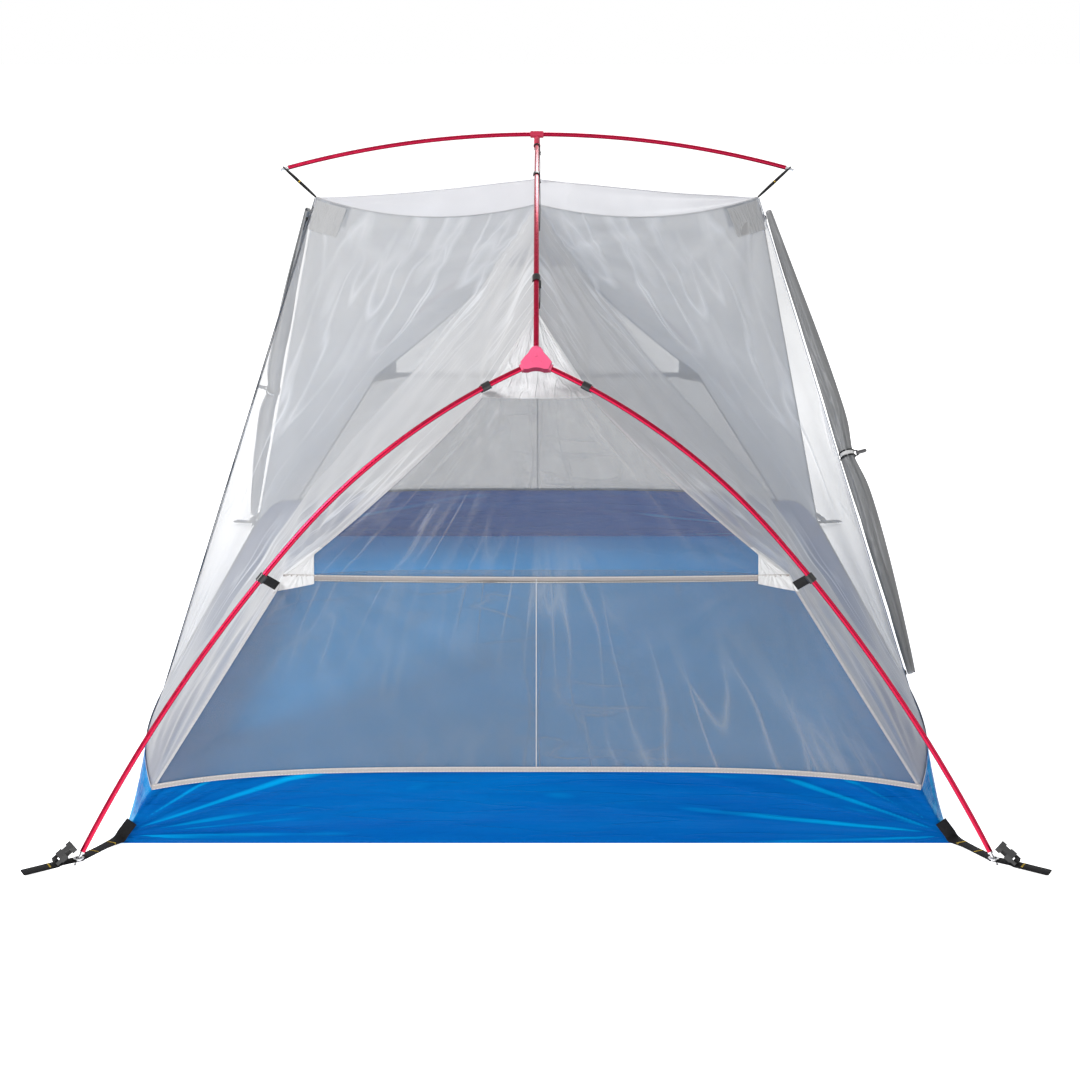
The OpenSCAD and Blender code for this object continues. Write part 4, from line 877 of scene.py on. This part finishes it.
# ---------------------------------------------------------------- bindings and seams
bindings = []
LIFT = 1.2


def bind(path, side, width, lift, sx, sy, material):
    """A tape along a path, lifted off the cloth and mirrored into a quarter."""
    path, side = mirrored(path + np.array(lift), sx, sy), mirrored(np.array(side), sx, sy)
    bindings.append(outward(ribbon(f"bind_{len(bindings)}", path, side, width, material)))


def pocket_line(dz=0.0):
    return pts(f_end * POCKET_HALF, end_y(POCKET_Z), POCKET_Z - 4 * (1 - f_end**2) + dz)


z_edge = np.linspace(TUB_CORNER, END_TOP, 90)
f_end = np.linspace(-1, 1, 120)
for sy in (-1, 1):
    for sx in (-1, 1):
        bind(edge_point(z_edge), (1, -0.3, 0), 5, (-2, LIFT, 0), sx, sy, SEAM_TAPE)
    top = pts(f_end * CORNER_X, end_y(tub_end_top(f_end)), tub_end_top(f_end))
    bind(top, (0, 0.05, 1), 9, (0, LIFT + 0.6, 1), 1, sy, EDGE_TAPE)
    bind(pocket_line(), (0, 0.1, 1), 11, (0, LIFT, 0), 1, sy, TAPE_CLOTH)
    zc = np.linspace(TUB_END, POCKET_Z, 40)
    bind(pts(0, end_y(zc), zc), (1, 0, 0), 1.8, (0, LIFT - 0.4, 0), 1, sy, SEAM_TAPE)
    for sx in (-1, 1):
        y = np.linspace(TIP_Y, ROOF_REACH, 60)
        bind(pts(0, y, ridge_z(y)), (1, 0, 0), 3, (0, 0, LIFT), sx, sy, SEAM_TAPE)
        w = np.linspace(0, 1, 60)
        bind(seam_point(w), (0.2, 1, -0.3), 4, (0, 0.5, LIFT), sx, sy, SEAM_TAPE)
        y = np.linspace(end_y(TUB_CORNER), 0, 90)
        bind(tub_side_top(y), (0, 0, 1), 8, (LIFT, 0, 0), sx, sy, EDGE_TAPE)
        bind(wall_door(w), (0, 0.8, 0.6), 8, (LIFT, 2.0, 0), sx, sy, SEAM_TAPE)
w = np.linspace(-1, 1, 100)
bind(pts(ROOF_HALF * w, 0, crest_z(np.abs(w))), (0, 1, 0), 3, (0, 0, LIFT), 1, 1, SEAM_TAPE)
o = joined("seam_bindings", bindings)
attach(o, TENT)


# ---------------------------------------------------------------- zips
def zip_run(place, length, name):
    """Tape and coil of a zip, place giving points by their place along, across and above it."""
    x = np.linspace(0, length, max(20, int(length / 12)))
    k = np.linspace(0, TAPE_W, 5)
    xx, yy = np.meshgrid(x, k, indexing="ij")
    tape = grid_object(f"{name}_tape", place(xx, yy, 0.3 * np.sin(xx / 30)), ZIP_CLOTH)
    turns = int(length / 2.4)
    a = np.linspace(0, 2 * np.pi * turns, turns * 8)
    xs = np.linspace(0, length, len(a))
    path = place(xs, TAPE_W + 0.9 * np.cos(a), 0.9 * np.sin(a))
    coil = tube(f"{name}_coil", path, 0.55, ZIP_CLOTH, 4, caps=False)
    return [tape, coil]


EDGE_START, EDGE_STOP, SILL_START, SILL_STOP, SILL_RISE = 14, 8, 10, 14, 2
zips = []
for sx in (-1, 1):

    def edge_place(x, y, z, s=sx):
        return on_side(zip_edge(EDGE_START + x, y, z), s)

    def sill_place(x, y, z, s=sx):
        return on_side(doorway(-DOOR_HALF + SILL_START + x, SILL_RISE + y, z), s)

    zips += zip_run(edge_place, EDGE_L - EDGE_START - EDGE_STOP, f"edge{sx}")
    zips += zip_run(sill_place, 2 * DOOR_HALF - SILL_START - SILL_STOP, f"sill{sx}")
o = joined("zip_tapes", zips)
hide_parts("zip_tapes")
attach(o, TENT)


# ---------------------------------------------------------------- stitching
DASH, GAP, THREAD = 3.4, 1.8, 0.9


def stitched(name, paths):
    """Rows of short stitches along paths in mm, each given with the direction the cloth faces."""
    corners = []
    for path, face in paths:
        path = np.asarray(path, float)
        run = np.concatenate([[0], np.cumsum(np.linalg.norm(np.diff(path, axis=0), axis=1))])
        at = np.arange(0, run[-1] - DASH, DASH + GAP)
        a = np.stack([np.interp(at, run, path[:, k]) for k in range(3)], 1)
        b = np.stack([np.interp(at + DASH, run, path[:, k]) for k in range(3)], 1)
        face = unit(np.asarray(face, float))
        across = unit(np.cross(b - a, face)) * THREAD / 2
        a, b = a + face * 0.5, b + face * 0.5
        corners.append(np.stack([a - across, b - across, b + across, a + across], 1).reshape(-1, 3))
    v = np.concatenate(corners) * MM
    mesh = bpy.data.meshes.new(name)
    mesh.from_pydata(v.tolist(), [], np.arange(len(v)).reshape(-1, 4).tolist())
    return outward(link(bpy.data.objects.new(name, mesh), STITCH))


rows = []
for sy in (-1, 1):
    wall_face = (0, sy, 0.15)
    patch_face = (0, 0.78 * sy, 0.62)
    for dz in (-3, 3):
        top = tub_end_top(f_end)
        edge = pts(f_end * CORNER_X * 0.995, end_y(top) + LIFT + 0.8, top + 1 + dz)
        rows.append((mirrored(edge, 1, sy), wall_face))
        tape = pocket_line(dz * 1.3) * [0.99, 1, 1] + [0, LIFT + 0.2, 0]
        rows.append((mirrored(tape, 1, sy), wall_face))
    for sx in (-1, 1):
        k = np.linspace(0, 1, 40)
        z = lerp(423.0, 474.0, k)
        inner = pts(np.minimum(LEG_PATCH_IN, edge_x(z) - 4) + 2, end_y(z) + 2.6, z)
        rows.append((mirrored(inner, sx, sy), wall_face))
        lower = pts(lerp(LEG_PATCH_IN + 2, 408.0, k), end_y(418.0) + 2.6, lerp(424.0, 413.0, k))
        rows.append((mirrored(lower, sx, sy), wall_face))
        side = lerp(PATCH_LOW, PATCH_TIP, k[:, None]) * [0.93, 1, 1] + [-2, 0.8, 3.0]
        rows.append((mirrored(side, sx, sy), patch_face))
    foot = pts(f_end * END_TOP_HALF * 0.93, PATCH_LOW[1] + 0.5, END_TOP + 4 - 3 * (1 - f_end**2))
    rows.append((mirrored(foot, 1, sy), patch_face))
o = stitched("stitching", rows)
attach(o, TENT)


# ---------------------------------------------------------------- webbing
def spline(points, n=12):
    """Smooth run through points (Catmull-Rom)."""
    q = np.asarray(points, float)
    q = np.vstack([2 * q[0] - q[1], q, 2 * q[-1] - q[-2]])
    out = []
    for i in range(1, len(q) - 2):
        for t in np.linspace(0, 1, n, endpoint=False):
            a, b, c, d = q[i - 1 : i + 3]
            bend, twist = 2 * a - 5 * b + 4 * c - d, 3 * b - a - 3 * c + d
            out.append(0.5 * (2 * b + (c - a) * t + bend * t * t + twist * t**3))
    return np.array(out + [q[-2]])


def strap(name, path, side, width, thick, material):
    """Flat webbing with rounded edges along a path in mm."""
    path = np.asarray(path, float)
    t = unit(np.gradient(path, axis=0))
    side = unit(np.broadcast_to(np.asarray(side, float), path.shape))
    side = unit(side - (side * t).sum(1, keepdims=True) * t)
    up = np.cross(t, side)
    w, h, b = width / 2, thick / 2, thick * 0.28
    below = [(-w, -h + b), (-w + b, -h), (0, -h), (w - b, -h), (w, -h + b)]
    outline = below + [(a, -c) for a, c in reversed(below)]
    p = np.array([path + side * a + up * c for a, c in outline])
    return grid_object(name, p, material, ring=True)


def bartack(at, along, side, width, thick=1.6):
    """Zigzag of bright thread across webbing."""
    along, side = unit(along), unit(side)
    up = np.cross(along, side)
    k = np.arange(15)
    across = np.outer(np.linspace(-width / 2 + 1, width / 2 - 1, len(k)), side)
    path = at + across + np.outer(1.3 * (-1.0) ** k, along)
    return [tube("bartack", path + s * up * (thick / 2 + 0.15), 0.45, BARTACK, 5) for s in (-1, 1)]


STRAP_W, STRAP_T, TAB_W = 20.0, 1.6, 15.0
GROMMET_RIM, GROMMET_Z = 8.6, 12.0
GROMMET = np.array([*(np.array(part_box("foot_grommets")[1])[:2] / MM - GROMMET_RIM), GROMMET_Z])
TAB_TOP = np.array([653.0, 1052.0, 38.0])
STRAP_START = np.array([676.0, 1053.5, 8.0])
LOOP_AT = np.array([752.0, 1164.0, 11.0])
LOOP_END = np.array([799.0, 1190.0, 8.0])
LOOP_X = unit((LOOP_END - LOOP_AT) * [1, 1, 0])
LOOP_Y = np.array([-LOOP_X[1], LOOP_X[0], 0])
BUCKLE_AT = LOOP_AT + [0, 0, 5.0]


def corner_webbing():
    """One corner's lead to the grommet, stake loop and ring for the buckle."""
    made = []
    flat = np.cross((0, 0, 1.0), unit(GROMMET - STRAP_START))
    knots = [TAB_TOP, lerp(TAB_TOP, STRAP_START, 0.6), STRAP_START]
    knots += [lerp(STRAP_START, GROMMET, 0.35), lerp(STRAP_START, GROMMET, 0.75), GROMMET]
    sides = [(0.84, 0, 0.545), (0.84, 0, 0.545), (0.9, -0.2, 0.3), -flat, -flat, -flat]
    made.append(strap("lead", spline(knots), spline(sides), STRAP_W - 1, STRAP_T, WEBBING))
    reach = np.linalg.norm((LOOP_END - LOOP_AT) * [1, 1, 0])
    for start, drop in ((-30.0, 0.0), (-7.0, 1.7)):
        x = np.linspace(start, reach, 40)
        apart = held((x + 7) / 6) * held((reach - x) / 5 + 0.5)
        z = np.where(x < 0, -x / 31, -3 * x / reach) - drop * apart
        path = LOOP_AT + np.outer(x, LOOP_X) + np.outer(z, (0, 0, 1))
        made.append(strap("loop", path, LOOP_Y, STRAP_W, STRAP_T, WEBBING))
    a = np.linspace(0, 2 * np.pi, 25)
    ring = BUCKLE_AT + np.outer(3.5 * np.cos(a), LOOP_X) + np.outer(3.5 * np.sin(a), (0, 0, 1))
    made.append(strap("ring", ring, LOOP_Y, 16, STRAP_T, WEBBING))
    for share in (0.18, 0.62):
        at = lerp(STRAP_START, GROMMET, share) + [0, 0, 0.2]
        made += bartack(at, GROMMET - STRAP_START, flat, STRAP_W)
    made += bartack(LOOP_AT + LOOP_X * 11 - [0, 0, 0.6], LOOP_X, LOOP_Y, STRAP_W, 1.2)
    return made


def copied(obj, sx, sy):
    c = obj.copy()
    c.data = obj.data.copy()
    bpy.context.scene.collection.objects.link(c)
    c.data.transform(Matrix.Diagonal((sx, sy, 1, 1)))
    if sx * sy < 0:
        c.data.flip_normals()
    return c


first = joined("corner_webbing_one", corner_webbing())
others = [copied(first, sx, sy) for sx, sy in QUARTERS.values() if (sx, sy) != (1, 1)]
o = joined("corner_webbing", [first] + others)
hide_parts("corner_webbing")
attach(o, TENT)


def cuboids(node, thick):
    """Middle, run, width direction and length of each box-shaped solid of a CAD node, in mm."""
    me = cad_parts[node].data
    v = np.empty(len(me.vertices) * 3)
    me.vertices.foreach_get("co", v)
    v = v.reshape(-1, 3) / MM
    _, same = np.unique(np.round(v, 2), axis=0, return_inverse=True)
    same = same.ravel()
    root = list(range(same.max() + 1))

    def find(a):
        while root[a] != a:
            a = root[a]
        return a

    edges = [(same[e.vertices[0]], same[e.vertices[1]]) for e in me.edges]
    for a, b in edges:
        root[find(a)] = find(b)
    place = {int(k): v[i] for i, k in enumerate(same)}
    groups = {}
    for k in place:
        groups.setdefault(find(k), []).append(k)
    for members in groups.values():
        runs = [place[int(b)] - place[int(a)] for a, b in edges if find(a) == find(members[0])]
        t = next(unit(r) for r in runs if abs(np.linalg.norm(r) - thick) < 0.05)
        wide = [unit(r) for r in runs if abs(np.linalg.norm(r) - TAB_W) < 0.05]
        w = next(r for r in wide if abs(r @ t) < 0.01)
        x = np.cross(t, w)
        q = np.array([place[k] for k in members])
        yield q.mean(0), x, w, np.ptp(q @ x)


tabs = []
for middle, x, w, length in cuboids("clip_tabs", STRAP_T):
    k = np.linspace(-1, 1, 14)
    path = middle + np.outer(k * (length / 2 + 3), x) + np.outer(0.8 * (1 - k * k), np.cross(x, w))
    tabs.append(strap("tab", path, w, TAB_W, STRAP_T, WEBBING))
o = joined("clip_tabs", tabs)
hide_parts("clip_tabs")
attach(o, TENT)

# Straps between the roof's corners and the crossbar's tips
BAR_Z, BAR_HALF, BAR_DROP = 1075.0, 494.0, 65.0
BAR_BOW = (BAR_HALF**2 + BAR_DROP**2) / (2 * BAR_DROP)
BAR_END = math.asin(BAR_HALF / BAR_BOW)
GRIP = 7.0  # how far along the tip the strap's eye sits
STRAP_TIP = np.array([BAR_HALF + GRIP * math.cos(BAR_END), 0, BAR_Z - BAR_DROP - GRIP * math.sin(BAR_END)])
STRAP_LOW = ROOF_CORNER + [4, 0, 5]
BAR_STRAP_W, BAR_STRAP_TURN, BAR_STRAP_POINTS = 10.0, 24.0, 40
bar_straps = []
for sx in (-1, 1):
    run = unit(STRAP_TIP - STRAP_LOW)
    length = np.linalg.norm(STRAP_TIP - STRAP_LOW)
    path = STRAP_LOW + np.outer(np.linspace(-6, length + 5, BAR_STRAP_POINTS), run)
    turn = np.radians(BAR_STRAP_TURN) * np.sin(np.linspace(0, np.pi, BAR_STRAP_POINTS)) ** 0.5
    side = np.outer(np.cos(turn), (0, 1.0, 0)) + np.outer(np.sin(turn), np.cross(run, (0, 1.0, 0)))
    mirror = np.array([sx, 1, 1])
    path, side = path * mirror, side * mirror
    middle = BAR_STRAP_POINTS // 2
    bar_straps.append(strap("bar_strap", path, side, BAR_STRAP_W, STRAP_T, WEBBING))
    bar_straps += bartack(path[middle], run * mirror, side[middle], BAR_STRAP_W)
    a = np.linspace(0, 2 * np.pi, 24, endpoint=False)
    eye = STRAP_TIP + np.outer(4.2 * np.cos(a), run) + np.outer(4.2 * np.sin(a), (0, 1, 0))
    bar_straps.append(tube("eye", eye * mirror, 1.3, BLACK, 8, closed=True))
o = joined("crossbar_straps", bar_straps)
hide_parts("crossbar_straps", "crossbar_strap_ends")
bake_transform(o)


# ---------------------------------------------------------------- ties round the rolled doors
BAND_W, BAND_T, CORD_R, CORD_SIDE = 9.5, 0.8, 1.2, 5.2
BOW = [(-5.2, 1.2), (-5.2, 4), (-4.6, 7.0), (0, 7.4), (4.6, 7.0), (5.2, 4), (5.2, 1.2)]


def door_tie(sx):
    """A band and two cords round the roll, and the bow that the toggle hangs on."""
    r = float(roll_radius(np.array(TIE_T)))
    x0, lift, r = EDGE_L * TIE_T, r + 6, r + 0.8
    a = np.linspace(0, 2 * np.pi, 49)

    def hoop(x, radius):
        return on_side(hinge_edge(x0 + x + 0 * a, radius * np.cos(a), lift + radius * np.sin(a)), sx)

    along = on_side(hinge_edge(1, 0, 0) - hinge_edge(0, 0, 0), sx)
    made = [strap("band", hoop(0, r + 0.4), along, BAND_W, BAND_T, BAND)]
    for x in (-CORD_SIDE, CORD_SIDE):
        made.append(tube("tie", hoop(x, r + CORD_R)[:-1], CORD_R, CORD, 10, closed=True))
    bow = spline([np.array([x, z, 0]) for x, z in BOW], 6)
    path = on_side(hinge_edge(x0 + bow[:, 0], 0 * bow[:, 0], lift + r + bow[:, 1]), sx)
    made.append(tube("bow", path, 1.1, CORD, 10))
    return made


o = joined("door_ties", door_tie(-1) + door_tie(1))
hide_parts("door_ties")
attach(o, TENT)


# ---------------------------------------------------------------- hard parts shown from the CAD model
def paint(material, *nodes):
    for node in nodes:
        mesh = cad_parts[node].data
        mesh.materials.clear()
        mesh.materials.append(material)
        smooth(mesh, 35)


for q in QUARTERS:
    paint(POLE, f"{q}_leg_upper", f"{q}_leg_lower")
    paint(BLACK, f"{q}_buckle")
paint(POLE, "near_spine_outer", "near_spine_inner", "far_spine_inner", "far_spine_outer")
paint(POLE, "crossbar_left", "crossbar_right")
paint(HUB, "near_hub", "far_hub")
paint(SADDLE, "spine_saddle", "crossbar_saddle")
paint(SILVER, "leg_tips", "crossbar_tips", "pole_ferrules", "crossbar_ferrule", "foot_grommets")
paint(ELASTIC, "shock_cords", "crossbar_cord")
for s in ("left", "right"):
    paint(BLACK, f"{s}_edge_slider", f"{s}_sill_slider", f"{s}_edge_pull", f"{s}_sill_pull")
    paint(SMOKED, f"{s}_toggle")
paint(BLACK, "pole_clips")

# ---------------------------------------------------------------- floor and light
STAGE_HALF, STAGE_Z = 60.0, -0.001
FLOOR_GLOW = 0.85
WORLD_LIGHT, WORLD_SEEN = 0.55, 1.0
stage_corners = [(x * STAGE_HALF, y * STAGE_HALF, STAGE_Z) for x, y in ((-1, -1), (1, -1), (1, 1), (-1, 1))]
stage_mesh = bpy.data.meshes.new("studio_floor")
stage_mesh.from_pydata(stage_corners, [], [(0, 1, 2, 3)])
studio = link(bpy.data.objects.new("studio_floor", stage_mesh))
m = new_material("studio_floor")
g = Graph(m)
p = g.node("ShaderNodeBsdfPrincipled", Base_Color=(0.9, 0.9, 0.9, 1), Roughness=0.9)
glow = g.node("ShaderNodeEmission", Color=(1, 1, 1, 1), Strength=FLOOR_GLOW).outputs[0]
g.out(g.node("ShaderNodeAddShader", i0=p.outputs[0], i1=glow).outputs[0])
studio.data.materials.append(m)

world = bpy.data.worlds.new("studio")
bpy.context.scene.world = world
world.use_nodes = True
wt = world.node_tree
wt.nodes.clear()
seen = wt.nodes.new("ShaderNodeLightPath")
level = wt.nodes.new("ShaderNodeMix")
level.inputs[2].default_value = WORLD_LIGHT
level.inputs[3].default_value = WORLD_SEEN
wt.links.new(seen.outputs["Is Camera Ray"], level.inputs[0])
bg = wt.nodes.new("ShaderNodeBackground")
bg.inputs[0].default_value = (1.0, 1.0, 1.0, 1)
wt.links.new(level.outputs[0], bg.inputs[1])
wt.links.new(bg.outputs[0], wt.nodes.new("ShaderNodeOutputWorld").inputs[0])


def area_light(name, at, to, size, power):
    d = bpy.data.lights.new(name, "AREA")
    d.shape = "DISK"
    d.size = size
    d.energy = power
    o = bpy.data.objects.new(name, d)
    bpy.context.scene.collection.objects.link(o)
    o.location = at
    o.rotation_euler = (Vector(to) - Vector(at)).to_track_quat("-Z", "Y").to_euler()


area_light("key", (-3.0, -2.6, 3.2), (0, 0, 0.4), 1.6, 170)
area_light("fill", (3.2, -2.6, 2.0), (0, 0, 0.4), 2.5, 15)
area_light("back", (0.5, 3.6, 3.2), (0, 0, 0.6), 2.5, 60)
bpy.context.scene.view_settings.view_transform = "Standard"
